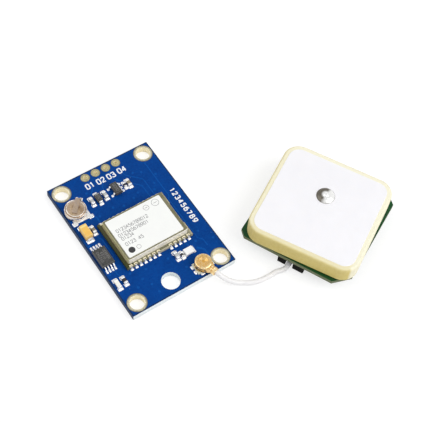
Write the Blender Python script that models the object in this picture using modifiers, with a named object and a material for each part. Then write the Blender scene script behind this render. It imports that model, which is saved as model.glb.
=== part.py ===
# Satellite receiver board with a coax lead to a ceramic patch antenna, modelled at real size in metres.
# Origin: middle of the board's underside. +X runs along the header edge, +Y points to that edge, +Z is up.

import math

import bmesh
import bpy
from mathutils import Matrix, Vector

# Fits between pieces
SOLDER_GAP = 0.00003
FIT_GAP = 0.00003

# Receiver module: green carrier, drawn can and paper label
CARRIER_WIDTH = 0.016
CARRIER_DEPTH = 0.0122
CARRIER_THICKNESS = 0.0008
CARRIER_RECESS_LENGTH = 0.0055
CARRIER_RECESS_DEPTH = 0.0003
EDGE_PAD_PITCH = 0.0011
EDGE_PAD_MARGIN = 0.0010
EDGE_PAD_RADIUS = 0.00026
EDGE_PADS_RIGHT = 5
EDGE_PAD_BREAK = 0.0028
CAN_MARGIN = 0.0007
CAN_HEIGHT = 0.0016
CAN_WALL = 0.0002
CAN_CORNER = 0.0005
CAN_EDGE = 0.00018
LABEL_MARGIN = 0.0006
LABEL_THICKNESS = 0.0001
RECEIVER_CHIP_SIDE = 0.0052
RECEIVER_CHIP_HEIGHT = 0.0009

# Board, sized by the strips that it leaves round the module
SIDE_STRIP = 0.0045
HEADER_STRIP = 0.0133
SOCKET_STRIP = 0.0095
BOARD_THICKNESS = 0.0016
COPPER_THICKNESS = 0.00006
SLEEVE_WALL = 0.0001
SCREW_HOLE_DIAMETER = 0.0031
SCREW_PAD_DIAMETER = 0.0041
SCREW_INSET = 0.0023
PLAIN_HOLE_DIAMETER = 0.0040
PLAIN_HOLE_OFFSET = -0.0017
PLAIN_HOLE_INSET = 0.0029
HEADER_PITCH = 0.00254
HEADER_HOLE_DIAMETER = 0.0010
HEADER_PAD_DIAMETER = 0.0019
HEADER_INSET = 0.0013
HEADER_PINS = 4

# Backup cell on its tabs
CELL_DIAMETER = 0.0048
CELL_HEIGHT = 0.0014
CELL_RIM = 0.00035
CELL_FROM_SIDE = 0.0026
CELL_FROM_HEADER_EDGE = 0.0078
TAB_THICKNESS = 0.00012
TAB_WIDTH = 0.0041
TAB_LENGTH = 0.0040
TAB_REACH = 0.0027
TOP_TAB_WIDTH = 0.0011
TOP_TAB_TURN = math.radians(48)

# Tantalum capacitor, and how far to the right of it the chip capacitor stands
TANTALUM_LENGTH = 0.0032
TANTALUM_WIDTH = 0.0017
TANTALUM_HEIGHT = 0.0016
TANTALUM_FROM_SIDE = 0.0017
TANTALUM_FROM_HEADER_EDGE = 0.0136
TERMINAL_THICKNESS = 0.00012
TERMINAL_WIDTH = 0.0012
TERMINAL_FOOT = 0.0008
TERMINAL_RISE = 0.0009
SIDE_CAPACITOR_GAP = 0.0005

# Two-terminal chip parts: the usual size, what the smallest two are of it, the light and the coil
CHIP_LENGTH = 0.0016
CHIP_WIDTH = 0.0008
CHIP_HEIGHT = 0.0007
CHIP_END = 0.00035
CHIP_STEP = 0.00003
SMALL_CHIP_SCALE = 0.7
LED_LENGTH = 0.0020
LED_WIDTH = 0.0009
INDUCTOR_LENGTH = 0.0020
INDUCTOR_WIDTH = 0.0016
INDUCTOR_HEIGHT = 0.0006

# Row of small parts under the header, left to right with the gaps between them
ROW_FROM_HEADER_EDGE = 0.0074
ROW_START = 0.0064
ROW_GAPS = (0.0005, 0.0006, 0.0009, 0.00055, 0.0003)
DIODE_LENGTH = 0.0019
DIODE_WIDTH = 0.0013
DIODE_HEIGHT = 0.0010
DIODE_LEAD_WIDTH = 0.0008
DIODE_LEAD_REACH = 0.0006
REGULATOR_LENGTH = 0.0029
REGULATOR_WIDTH = 0.0016
REGULATOR_HEIGHT = 0.0011
REGULATOR_PITCH = 0.00095
REGULATOR_LEAD_REACH = 0.0006
REGULATOR_LEAD_WIDTH = 0.0004

# Memory chip
MEMORY_WIDTH = 0.0030
MEMORY_LENGTH = 0.0044
MEMORY_HEIGHT = 0.0010
MEMORY_PITCH = 0.00065
MEMORY_LEADS_A_SIDE = 4
MEMORY_LEAD_REACH = 0.0011
MEMORY_LEAD_WIDTH = 0.00026
MEMORY_FROM_MODULE = 0.0012
MEMORY_BELOW_MODULE = 0.0010
LEAD_THICKNESS = 0.00015

# Status light and its resistor, measured from the board's corner by the plain hole
LIGHT_FROM_SIDE = 0.0011
LIGHT_FROM_SOCKET_EDGE = 0.0078
LIGHT_PITCH = 0.0016

# Parts between the module and the antenna socket
FEED_CAPACITOR_FROM_SIDE = 0.0101
FEED_GAP = 0.0004
FEED_FROM_MODULE = 0.0024
FEED_STEP = 0.0004

# Antenna socket and the plug that sits on it
SOCKET_WIDTH = 0.0039
SOCKET_DEPTH = 0.0027
SOCKET_BASE_THICKNESS = 0.00035
SOCKET_FROM_SIDE = 0.0067
SOCKET_FROM_EDGE = 0.00235
SHELL_RADIUS = 0.0010
SHELL_WALL = 0.00015
SHELL_HEIGHT = 0.0008
PIN_RADIUS = 0.00024
PIN_HEIGHT = 0.0007
PLUG_RADIUS = 0.00182
PLUG_ROOF = 0.00035
PLUG_HEIGHT = 0.00165
PLUG_TURN = math.radians(-72)
NECK_AXIS_HEIGHT = 0.00123
NECK_RADIUS = 0.00076
NECK_CRIMP_RADIUS = 0.00088
NECK_LENGTH = 0.0034

# Coax lead
CABLE_DIAMETER = 0.00113
CABLE_POINT_SPACING = 0.0023

# Patch antenna: its board's front edge's middle is its reference point, and its ceramic sits a little askew
ANTENNA_X = 0.021306
ANTENNA_Y = -0.024762
ANTENNA_TURN = math.radians(-63.33)
CERAMIC_SKEW = math.radians(3.4)
ANTENNA_SIDE = 0.025
ANTENNA_BOARD_THICKNESS = 0.0010
ANTENNA_BOARD_CHAMFERS = (0.0013, 0.0013, 0.0013, 0.0032)
CERAMIC_MARGIN = 0.00015
CERAMIC_HEIGHT = 0.0040
CERAMIC_CORNER = 0.0036
CERAMIC_EDGE = 0.0005
TAPE_THICKNESS = 0.00016
TAPE_MARGIN = 0.0009
ELECTRODE_MARGIN = 0.0011
ELECTRODE_THICKNESS = 0.00006
FEED_OFFSET_BACK = 0.0027
FEED_OFFSET_SIDE = -0.0002
FEED_PIN_RADIUS = 0.00045
FEED_HEAD_RADIUS = 0.0020
FEED_HEAD_HEIGHT = 0.0007
SHIELD_SIDE = 0.0170
SHIELD_HEIGHT = 0.0028
SHIELD_WALL = 0.0003
SHIELD_CORNER = 0.0016
SHIELD_EDGE = 0.0004
SHIELD_OFFSET = -0.0015
SHIELD_FROM_FRONT = 0.0055
SHIELD_SLOT_CLEARANCE = 0.0003
SHIELD_SLOT_FROM_FRONT = 0.0096
AMPLIFIER_SIDE = 0.0030
AMPLIFIER_HEIGHT = 0.0008
CABLE_ENTRY_HEIGHT = 0.00195
CLIP_WIDTH = 0.0060
CLIP_DEPTH = 0.0016
CLIP_OFFSET = -0.0002
CLIP_FROM_FRONT = 0.0005
CLIP_SLOT_WIDTH = 0.0017
CLIP_SLOT_HEIGHT = 0.0022
CLIP_SLOT_OFFSET = -0.00034

# Facets of the round shapes
CORNER_STEPS = 4
HOLE_STEPS = 24
SMALL_HOLE_STEPS = 12
ROUND_STEPS = 28
DOME_STEPS = 5
ROUTE_STEPS = 16
SHARP_ANGLE = math.radians(35)
DRAWING_SCALE = 1000
WELD_DISTANCE = 0.000001

# Route of the coax lead's middle, from inside the plug's neck along the table into the amplifier's shield
CABLE_ROUTE = [
    (0.00674, -0.01803, 0.00283),
    (0.00691, -0.01857, 0.00283),
    (0.00711, -0.01918, 0.00278),
    (0.00756, -0.01992, 0.00240),
    (0.00856, -0.02100, 0.00168),
    (0.00972, -0.02181, 0.00108),
    (0.01070, -0.02227, 0.00076),
    (0.01244, -0.02328, 0.00060),
    (0.01479, -0.02391, 0.00060),
    (0.01687, -0.02404, 0.00060),
    (0.01835, -0.02398, 0.00060),
    (0.02025, -0.02434, 0.00060),
    (0.02109, -0.02411, 0.00062),
    (0.02184, -0.02382, 0.00066),
    (0.02258, -0.02351, 0.00072),
    (0.02345, -0.02335, 0.00080),
    (0.02450, -0.02366, 0.00092),
    (0.02542, -0.02460, 0.00105),
    (0.02632, -0.02616, 0.00125),
    (0.02726, -0.02793, 0.00145),
    (0.02843, -0.02958, 0.00165),
    (0.02999, -0.03047, 0.00180),
    (0.03176, -0.03042, 0.00190),
    (0.03310, -0.02941, 0.00195),
    (0.03343, -0.02796, 0.00195),
    (0.03312, -0.02689, 0.00195),
    (0.03267, -0.02599, 0.00195),
]

# What the driving sizes give
BOARD_WIDTH = CARRIER_WIDTH + 2 * SIDE_STRIP
BOARD_LENGTH = CARRIER_DEPTH + HEADER_STRIP + SOCKET_STRIP
LEFT = -BOARD_WIDTH / 2
RIGHT = BOARD_WIDTH / 2
HEADER_EDGE = BOARD_LENGTH / 2
SOCKET_EDGE = -BOARD_LENGTH / 2
MODULE_Y = SOCKET_EDGE + SOCKET_STRIP + CARRIER_DEPTH / 2
SEAT = BOARD_THICKNESS + SOLDER_GAP
CAN_WIDTH = CARRIER_WIDTH - 2 * CAN_MARGIN
CAN_DEPTH = CARRIER_DEPTH - 2 * CAN_MARGIN
CARRIER_TOP = SEAT + CARRIER_THICKNESS
CABLE_RADIUS = CABLE_DIAMETER / 2

# Colour, roughness and metallic of each finish
FINISHES = {
    "blue solder mask": ((0.004, 0.040, 0.210), 0.35, 0.0),
    "green solder mask": ((0.010, 0.100, 0.045), 0.40, 0.0),
    "gold plating": ((0.720, 0.540, 0.220), 0.30, 1.0),
    "tinned steel": ((0.620, 0.570, 0.430), 0.32, 1.0),
    "bright tin": ((0.780, 0.780, 0.760), 0.28, 1.0),
    "paper label": ((0.880, 0.870, 0.860), 0.60, 0.0),
    "black moulding": ((0.030, 0.029, 0.026), 0.50, 0.0),
    "orange moulding": ((0.780, 0.330, 0.040), 0.45, 0.0),
    "cell steel": ((0.520, 0.430, 0.340), 0.30, 1.0),
    "white ceramic": ((0.800, 0.780, 0.740), 0.45, 0.0),
    "tan ceramic": ((0.560, 0.450, 0.300), 0.45, 0.0),
    "cream ceramic": ((0.700, 0.560, 0.250), 0.50, 0.0),
    "fired silver": ((0.820, 0.815, 0.840), 0.45, 0.6),
    "white jacket": ((0.780, 0.775, 0.750), 0.40, 0.0),
    "dark tape": ((0.060, 0.050, 0.020), 0.70, 0.0),
}


def clear_scene():
    for obj in list(bpy.data.objects):
        bpy.data.objects.remove(obj, do_unlink=True)


def new_collection(name):
    collection = bpy.data.collections.new(name)
    bpy.context.scene.collection.children.link(collection)
    return collection


def material_of(finish):
    """The finish as a Principled material, made once."""
    found = bpy.data.materials.get(finish)
    if found:
        return found
    colour, roughness, metallic = FINISHES[finish]
    material = bpy.data.materials.new(finish)
    material.use_nodes = True
    shader = material.node_tree.nodes["Principled BSDF"]
    shader.inputs["Base Color"].default_value = (*colour, 1.0)
    shader.inputs["Roughness"].default_value = roughness
    shader.inputs["Metallic"].default_value = metallic
    material.diffuse_color = (*colour, 1.0)
    return material


def tidy_mesh(mesh):
    """Welds the mesh's doubles and turns its faces outwards."""
    bm = bmesh.new()
    bm.from_mesh(mesh)
    bmesh.ops.remove_doubles(bm, verts=bm.verts, dist=WELD_DISTANCE)
    bmesh.ops.recalc_face_normals(bm, faces=bm.faces)
    bm.to_mesh(mesh)
    bm.free()
    return mesh


def evaluated_mesh(guide):
    """The guide object's evaluated shape as a welded mesh. The guide is removed."""
    bpy.context.scene.collection.objects.link(guide)
    bpy.context.view_layer.update()
    graph = bpy.context.evaluated_depsgraph_get()
    mesh = bpy.data.meshes.new_from_object(guide.evaluated_get(graph))
    bpy.data.objects.remove(guide, do_unlink=True)
    return tidy_mesh(mesh)


def add(name, mesh, finish, place=(0.0, 0.0, 0.0), turn=0.0, parent=None):
    """A part: the mesh at its place, turned about Z, in its finish and shaded smooth where it is round."""
    obj = bpy.data.objects.new(name, mesh)
    obj.location = place
    obj.rotation_euler = (0.0, 0.0, turn)
    obj.parent = parent
    mesh.materials.clear()
    mesh.materials.append(material_of(finish))
    mesh.shade_smooth()
    mesh.set_sharp_from_angle(angle=SHARP_ANGLE)
    parts.objects.link(obj)
    return obj


def add_cutter(name, mesh, place=(0.0, 0.0, 0.0), turn=0.0, parent=None):
    obj = bpy.data.objects.new(name, mesh)
    obj.location = place
    obj.rotation_euler = (0.0, 0.0, turn)
    obj.parent = parent
    obj.hide_render = True
    obj.display_type = "WIRE"
    cutters.objects.link(obj)
    return obj


def boolean(target, other, operation="DIFFERENCE"):
    modifier = target.modifiers.new(other.name, "BOOLEAN")
    modifier.operation = operation
    modifier.solver = "EXACT"
    modifier.object = other


def soften(obj, width, segments=2):
    """Rounds the sharp edges of the object's mesh."""
    bevel = obj.modifiers.new("edges", "BEVEL")
    bevel.width = width
    bevel.segments = segments
    bevel.limit_method = "ANGLE"
    bevel.angle_limit = SHARP_ANGLE


def block_mesh(width, depth, height):
    """A box that stands on the origin."""
    mesh = bpy.data.meshes.new("block")
    bm = bmesh.new()
    matrix = Matrix.Translation((0.0, 0.0, height / 2)) @ Matrix.Diagonal((width, depth, height, 1.0))
    bmesh.ops.create_cube(bm, size=1.0, matrix=matrix)
    bm.to_mesh(mesh)
    bm.free()
    return mesh


def moulded_mesh(width, depth, height, draft):
    """A moulded chip body that stands on the origin, widest at half its height where its leads come out."""
    mesh = block_mesh(width, depth, height)
    bm = bmesh.new()
    bm.from_mesh(mesh)
    upright = [edge for edge in bm.edges if abs(edge.verts[0].co.z - edge.verts[1].co.z) > height / 2]
    bmesh.ops.subdivide_edges(bm, edges=upright, cuts=1)
    for vertex in bm.verts:
        if abs(vertex.co.z - height / 2) > height / 4:
            vertex.co.x *= 1 - 2 * draft / width
            vertex.co.y *= 1 - 2 * draft / depth
    bm.to_mesh(mesh)
    bm.free()
    return mesh


def drawn_mesh(outline, thickness, matrix):
    """A flat outline given its thickness. It is drawn enlarged, because a curve under 0.1 mm fills badly."""
    curve = bpy.data.curves.new("outline", "CURVE")
    curve.dimensions = "2D"
    curve.fill_mode = "BOTH"
    curve.extrude = thickness / 2 * DRAWING_SCALE
    spline = curve.splines.new("POLY")
    spline.points.add(len(outline) - 1)
    for point, (x, y) in zip(spline.points, outline):
        point.co = (x * DRAWING_SCALE, y * DRAWING_SCALE, 0.0, 1.0)
    spline.use_cyclic_u = True
    mesh = evaluated_mesh(bpy.data.objects.new("outline", curve))
    mesh.transform(matrix @ Matrix.Scale(1 / DRAWING_SCALE, 4))
    return mesh


def plate_mesh(outline, thickness):
    """A plate of the outline that stands on the origin."""
    return drawn_mesh(outline, thickness, Matrix.Translation((0.0, 0.0, thickness / 2)))


def strip_mesh(outline, width):
    """A strip whose outline is seen from its side, X along it and Z up, with the width across."""
    return drawn_mesh(outline, width, Matrix.Rotation(math.pi / 2, 4, "X"))


def rounded_outline(width, depth, radius, steps):
    """A rectangle with round corners, or chamfered ones where steps is 1, from its corner arcs."""
    points = []
    for quarter, (x_side, y_side) in enumerate(((1, 1), (-1, 1), (-1, -1), (1, -1))):
        for step in range(steps + 1):
            angle = math.pi / 2 * (quarter + step / steps)
            x = x_side * (width / 2 - radius) + radius * math.cos(angle)
            y = y_side * (depth / 2 - radius) + radius * math.sin(angle)
            points.append((x, y))
    return points


def chamfered_outline(side, chamfers):
    """A square with its four corners cut, each by its own amount."""
    half = side / 2
    back_right, back_left, front_left, front_right = chamfers
    return [
        (half, half - back_right),
        (half - back_right, half),
        (back_left - half, half),
        (-half, half - back_left),
        (-half, front_left - half),
        (front_left - half, -half),
        (half - front_right, -half),
        (half, front_right - half),
    ]


def turned_mesh(profile, steps, ring=False):
    """The (radius, height) profile turned about Z. A ring's profile closes on itself and leaves a bore."""
    count = len(profile)
    edges = [(index, index + 1) for index in range(count - 1)]
    if ring:
        edges.append((count - 1, 0))
    mesh = bpy.data.meshes.new("profile")
    mesh.from_pydata([(radius, 0.0, height) for radius, height in profile], edges, [])
    guide = bpy.data.objects.new("profile", mesh)
    screw = guide.modifiers.new("turn", "SCREW")
    screw.axis = "Z"
    screw.angle = 2 * math.pi
    screw.steps = steps
    screw.render_steps = steps
    screw.use_merge_vertices = True
    screw.merge_threshold = WELD_DISTANCE
    return evaluated_mesh(guide)


def rod_mesh(radius, height, steps):
    """A plain cylinder that stands on the origin."""
    return turned_mesh([(0.0, height), (radius, height), (radius, 0.0), (0.0, 0.0)], steps)


def can_object(name, finish, width, depth, height, corner, edge, wall, place, parent=None, inverted=False):
    """A drawn can: a rounded outline pulled up and closed at one end, its edge rounded, with its wall."""
    far = height
    if inverted:
        far = -height
    bm = bmesh.new()
    outline = rounded_outline(width, depth, corner, CORNER_STEPS)
    rim = bm.faces.new([bm.verts.new((x, y, 0.0)) for x, y in outline])
    pulled = bmesh.ops.extrude_face_region(bm, geom=[rim])
    moved = [item for item in pulled["geom"] if isinstance(item, bmesh.types.BMVert)]
    bmesh.ops.translate(bm, verts=moved, vec=(0.0, 0.0, far))
    bm.faces.ensure_lookup_table()
    mouth = [face for face in bm.faces if all(abs(vertex.co.z) < WELD_DISTANCE for vertex in face.verts)]
    bmesh.ops.recalc_face_normals(bm, faces=bm.faces)
    bmesh.ops.delete(bm, geom=mouth, context="FACES_ONLY")
    mesh = bpy.data.meshes.new(name)
    bm.to_mesh(mesh)
    bm.free()
    obj = add(name, mesh, finish, place, parent=parent)
    soften(obj, edge)
    skin = obj.modifiers.new("wall", "SOLIDIFY")
    skin.thickness = wall
    skin.offset = -1.0
    skin.use_even_offset = True
    return obj


def sleeve_profile(hole_radius, pad_radius):
    """A plated hole: its barrel with a copper pad at each face of the board, outer side first."""
    barrel = hole_radius + SLEEVE_WALL
    top = BOARD_THICKNESS
    return [
        (hole_radius, top),
        (pad_radius, top),
        (pad_radius, top - COPPER_THICKNESS),
        (barrel, top - COPPER_THICKNESS),
        (barrel, COPPER_THICKNESS),
        (pad_radius, COPPER_THICKNESS),
        (pad_radius, 0.0),
        (hole_radius, 0.0),
    ]


def sleeve_seat_profile(hole_radius, pad_radius):
    """What the board leaves free for a sleeve, run past both of its faces."""
    barrel = hole_radius + SLEEVE_WALL + FIT_GAP
    pad = pad_radius + FIT_GAP
    floor = COPPER_THICKNESS + FIT_GAP
    top = BOARD_THICKNESS
    return [
        (0.0, 2 * top),
        (pad, 2 * top),
        (pad, top - floor),
        (barrel, top - floor),
        (barrel, floor),
        (pad, floor),
        (pad, -top),
        (0.0, -top),
    ]


def lead_outline(reach, shoulder_height):
    """A gull-wing lead from its body's side to its foot, seen from the side."""
    shoulder = 0.3 * reach
    heel = 0.6 * reach
    top = shoulder_height + LEAD_THICKNESS / 2
    return [
        (FIT_GAP, top),
        (shoulder, top),
        (heel, LEAD_THICKNESS),
        (reach, LEAD_THICKNESS),
        (reach, 0.0),
        (heel - LEAD_THICKNESS / 2, 0.0),
        (shoulder - LEAD_THICKNESS / 2, top - LEAD_THICKNESS),
        (FIT_GAP, top - LEAD_THICKNESS),
    ]


def chip_outline(length, height):
    """A two-terminal chip from the side: its metal ends stand proud of its body."""
    half = length / 2
    inner = half - CHIP_END
    return [
        (-half, 0.0),
        (-inner, 0.0),
        (-inner, CHIP_STEP),
        (inner, CHIP_STEP),
        (inner, 0.0),
        (half, 0.0),
        (half, height),
        (inner, height),
        (inner, height - CHIP_STEP),
        (-inner, height - CHIP_STEP),
        (-inner, height),
        (-half, height),
    ]


def smooth_route(points, spacing):
    """Points a set distance apart on one smooth curve through the route's own points (Catmull-Rom)."""
    route = [Vector(point) for point in points]
    ends = [2 * route[0] - route[1]] + route + [2 * route[-1] - route[-2]]
    fine = []
    for before, start, stop, after in zip(ends, ends[1:], ends[2:], ends[3:]):
        for step in range(ROUTE_STEPS):
            t = step / ROUTE_STEPS
            fine.append(
                0.5
                * (
                    2 * start
                    + (stop - before) * t
                    + (2 * before - 5 * start + 4 * stop - after) * t**2
                    + (3 * start - before - 3 * stop + after) * t**3
                )
            )
    fine.append(route[-1])
    length = sum((stop - start).length for start, stop in zip(fine, fine[1:]))
    count = round(length / spacing)
    wanted = [length * index / count for index in range(1, count)]
    even = [fine[0]]
    travelled = 0.0
    for start, stop in zip(fine, fine[1:]):
        stretch = (stop - start).length
        while wanted and wanted[0] <= travelled + stretch:
            even.append(start.lerp(stop, (wanted.pop(0) - travelled) / stretch))
        travelled += stretch
    even.append(fine[-1])
    return even


def screw_places():
    x = BOARD_WIDTH / 2 - SCREW_INSET
    y = BOARD_LENGTH / 2 - SCREW_INSET
    return [(-x, y), (x, y), (x, -y), (-x, -y)]


def header_places():
    first = -HEADER_PITCH * (HEADER_PINS - 1) / 2
    return [(first + HEADER_PITCH * index, HEADER_EDGE - HEADER_INSET) for index in range(HEADER_PINS)]


def build_sleeves(name, board, places, hole_diameter, pad_diameter, steps):
    """Plated sleeves in the board, and their seats in it."""
    sleeve = turned_mesh(sleeve_profile(hole_diameter / 2, pad_diameter / 2), steps, ring=True)
    seat = turned_mesh(sleeve_seat_profile(hole_diameter / 2, pad_diameter / 2), steps)
    for index, (x, y) in enumerate(places, start=1):
        add(f"{name}_{index}", sleeve, "gold plating", (x, y, 0.0))
        boolean(board, add_cutter(f"{name}_seat_{index}", seat, (x, y, 0.0)))


def build_board():
    board = add("main_board", block_mesh(BOARD_WIDTH, BOARD_LENGTH, BOARD_THICKNESS), "blue solder mask")
    build_sleeves(
        "mounting_sleeve", board, screw_places(), SCREW_HOLE_DIAMETER, SCREW_PAD_DIAMETER, HOLE_STEPS
    )
    build_sleeves(
        "header_sleeve", board, header_places(), HEADER_HOLE_DIAMETER, HEADER_PAD_DIAMETER, SMALL_HOLE_STEPS
    )
    hole = rod_mesh(PLAIN_HOLE_DIAMETER / 2, 3 * BOARD_THICKNESS, HOLE_STEPS)
    place = (PLAIN_HOLE_OFFSET, SOCKET_EDGE + PLAIN_HOLE_INSET, -BOARD_THICKNESS)
    boolean(board, add_cutter("plain_hole", hole, place))


def edge_pad_places():
    """Middles of the half-round solder edges along one long side of the carrier, in two groups."""
    left = -CARRIER_WIDTH / 2 + EDGE_PAD_MARGIN
    right = CARRIER_WIDTH / 2 - EDGE_PAD_MARGIN
    from_right = [right - EDGE_PAD_PITCH * index for index in range(EDGE_PADS_RIGHT)]
    room = from_right[-1] - EDGE_PAD_BREAK - left
    from_left = [left + EDGE_PAD_PITCH * index for index in range(int(room / EDGE_PAD_PITCH) + 1)]
    return from_left + from_right


def edge_pads_mesh():
    """All the half-round notches of the carrier as one cutter of separate pins."""
    bm = bmesh.new()
    for x in edge_pad_places():
        for y in (-CARRIER_DEPTH / 2, CARRIER_DEPTH / 2):
            bmesh.ops.create_cone(
                bm,
                cap_ends=True,
                segments=SMALL_HOLE_STEPS,
                radius1=EDGE_PAD_RADIUS,
                radius2=EDGE_PAD_RADIUS,
                depth=3 * CARRIER_THICKNESS,
                matrix=Matrix.Translation((x, y, CARRIER_THICKNESS / 2)),
            )
    mesh = bpy.data.meshes.new("edge pads")
    bm.to_mesh(mesh)
    bm.free()
    return mesh


def build_receiver():
    carrier_place = (0.0, MODULE_Y, SEAT)
    slab = block_mesh(CARRIER_WIDTH, CARRIER_DEPTH, CARRIER_THICKNESS)
    carrier = add("receiver_carrier", slab, "green solder mask", carrier_place)
    boolean(carrier, add_cutter("edge_pads", edge_pads_mesh(), carrier_place))
    recess = block_mesh(2 * CARRIER_RECESS_DEPTH, CARRIER_RECESS_LENGTH, 3 * CARRIER_THICKNESS)
    recess_place = (CARRIER_WIDTH / 2, MODULE_Y, SEAT - CARRIER_THICKNESS)
    boolean(carrier, add_cutter("carrier_recess", recess, recess_place))
    on_carrier = CARRIER_TOP + SOLDER_GAP
    can_object(
        "receiver_can",
        "tinned steel",
        CAN_WIDTH,
        CAN_DEPTH,
        CAN_HEIGHT,
        CAN_CORNER,
        CAN_EDGE,
        CAN_WALL,
        (0.0, MODULE_Y, on_carrier),
    )
    label_outline = rounded_outline(
        CAN_WIDTH - 2 * LABEL_MARGIN, CAN_DEPTH - 2 * LABEL_MARGIN, LABEL_MARGIN / 2, CORNER_STEPS
    )
    label_place = (0.0, MODULE_Y, on_carrier + CAN_HEIGHT + SOLDER_GAP)
    add("receiver_label", plate_mesh(label_outline, LABEL_THICKNESS), "paper label", label_place)
    chip = block_mesh(RECEIVER_CHIP_SIDE, RECEIVER_CHIP_SIDE, RECEIVER_CHIP_HEIGHT)
    add("receiver_chip", chip, "black moulding", (-CAN_WIDTH / 5, MODULE_Y, on_carrier))


def cell_profile():
    """A coin cell: cap, gasket groove, crimped rim and cup, from the top's middle outwards and down."""
    radius = CELL_DIAMETER / 2
    cap = radius - CELL_RIM
    return [
        (0.0, CELL_HEIGHT),
        (cap - CELL_RIM / 2, CELL_HEIGHT),
        (cap, CELL_HEIGHT - CELL_RIM / 4),
        (cap, CELL_HEIGHT - CELL_RIM),
        (cap + CELL_RIM / 3, CELL_HEIGHT - CELL_RIM),
        (radius - CELL_RIM / 3, CELL_HEIGHT - CELL_RIM / 2),
        (radius, CELL_HEIGHT - CELL_RIM),
        (radius, CELL_RIM / 3),
        (radius - CELL_RIM / 3, 0.0),
        (0.0, 0.0),
    ]


def build_cell():
    x = LEFT + CELL_FROM_SIDE
    y = HEADER_EDGE - CELL_FROM_HEADER_EDGE
    bottom_tab = plate_mesh(rounded_outline(TAB_WIDTH, TAB_LENGTH, TAB_THICKNESS, 1), TAB_THICKNESS)
    tab_place = (x + (CELL_DIAMETER - TAB_WIDTH) / 2, y - TAB_REACH + TAB_LENGTH / 2, SEAT)
    add("cell_bottom_tab", bottom_tab, "bright tin", tab_place)
    cell_z = SEAT + TAB_THICKNESS + SOLDER_GAP
    add("backup_cell", turned_mesh(cell_profile(), ROUND_STEPS), "cell steel", (x, y, cell_z))
    rise = TAB_THICKNESS + SOLDER_GAP + CELL_HEIGHT + SOLDER_GAP
    start = -CELL_DIAMETER / 4
    fold = CELL_DIAMETER / 2 + 2 * FIT_GAP
    foot = fold + TOP_TAB_WIDTH
    outline = [
        (start, rise + TAB_THICKNESS),
        (fold + TAB_THICKNESS, rise + TAB_THICKNESS),
        (fold + TAB_THICKNESS, TAB_THICKNESS + SOLDER_GAP),
        (foot, TAB_THICKNESS + SOLDER_GAP),
        (foot, 0.0),
        (fold, 0.0),
        (fold, rise),
        (start, rise),
    ]
    add("cell_top_tab", strip_mesh(outline, TOP_TAB_WIDTH), "bright tin", (x, y, SEAT), TOP_TAB_TURN)


def build_tantalum():
    x = LEFT + TANTALUM_FROM_SIDE
    y = HEADER_EDGE - TANTALUM_FROM_HEADER_EDGE
    body = moulded_mesh(TANTALUM_WIDTH, TANTALUM_LENGTH, TANTALUM_HEIGHT, TERMINAL_THICKNESS / 2)
    body_z = SEAT + TERMINAL_THICKNESS + FIT_GAP
    soften(add("tantalum_body", body, "orange moulding", (x, y, body_z)), TERMINAL_THICKNESS / 2, 1)
    outside = FIT_GAP + TERMINAL_THICKNESS
    outline = [
        (FIT_GAP, TERMINAL_RISE),
        (outside, TERMINAL_RISE),
        (outside, 0.0),
        (-TERMINAL_FOOT, 0.0),
        (-TERMINAL_FOOT, TERMINAL_THICKNESS),
        (FIT_GAP, TERMINAL_THICKNESS),
    ]
    terminal = strip_mesh(outline, TERMINAL_WIDTH)
    half = TANTALUM_LENGTH / 2
    add("tantalum_terminal_plus", terminal, "bright tin", (x, y + half, SEAT), math.pi / 2)
    add("tantalum_terminal_minus", terminal, "bright tin", (x, y - half, SEAT), -math.pi / 2)


def add_chip(name, finish, x, y, length, width, height):
    """A two-terminal part that lies along Y."""
    return add(name, strip_mesh(chip_outline(length, height), width), finish, (x, y, SEAT), math.pi / 2)


def row_middles(start, widths):
    """Middles of parts that stand side by side from the start, with the row's gaps between them."""
    middles = []
    edge = start
    for width, gap in zip(widths, (*ROW_GAPS, 0.0)):
        middles.append(edge + width / 2)
        edge += width + gap
    return middles


def build_row():
    """Capacitor, diode, capacitor, regulator, small resistor and capacitor under the header."""
    y = HEADER_EDGE - ROW_FROM_HEADER_EDGE
    regulator_span = REGULATOR_WIDTH + 2 * REGULATOR_LEAD_REACH
    small = [size * SMALL_CHIP_SCALE for size in (CHIP_LENGTH, CHIP_WIDTH, CHIP_HEIGHT)]
    widths = (CHIP_WIDTH, DIODE_WIDTH, CHIP_WIDTH, regulator_span, small[1], CHIP_WIDTH)
    middles = row_middles(LEFT + ROW_START, widths)
    add_chip("row_resistor", "black moulding", middles[4], y, *small)
    for index, x in enumerate((middles[0], middles[2], middles[5]), start=1):
        add_chip(f"row_capacitor_{index}", "tan ceramic", x, y, CHIP_LENGTH, CHIP_WIDTH, CHIP_HEIGHT)
    build_diode(middles[1], y)
    build_regulator(middles[3], y)


def build_diode(x, y):
    body = moulded_mesh(DIODE_WIDTH, DIODE_LENGTH, DIODE_HEIGHT, LEAD_THICKNESS / 2)
    add("diode_body", body, "black moulding", (x, y, SEAT))
    lead = strip_mesh(lead_outline(DIODE_LEAD_REACH, DIODE_HEIGHT / 2), DIODE_LEAD_WIDTH)
    half = DIODE_LENGTH / 2
    add("diode_lead_1", lead, "bright tin", (x, y + half, SEAT), math.pi / 2)
    add("diode_lead_2", lead, "bright tin", (x, y - half, SEAT), -math.pi / 2)


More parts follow.
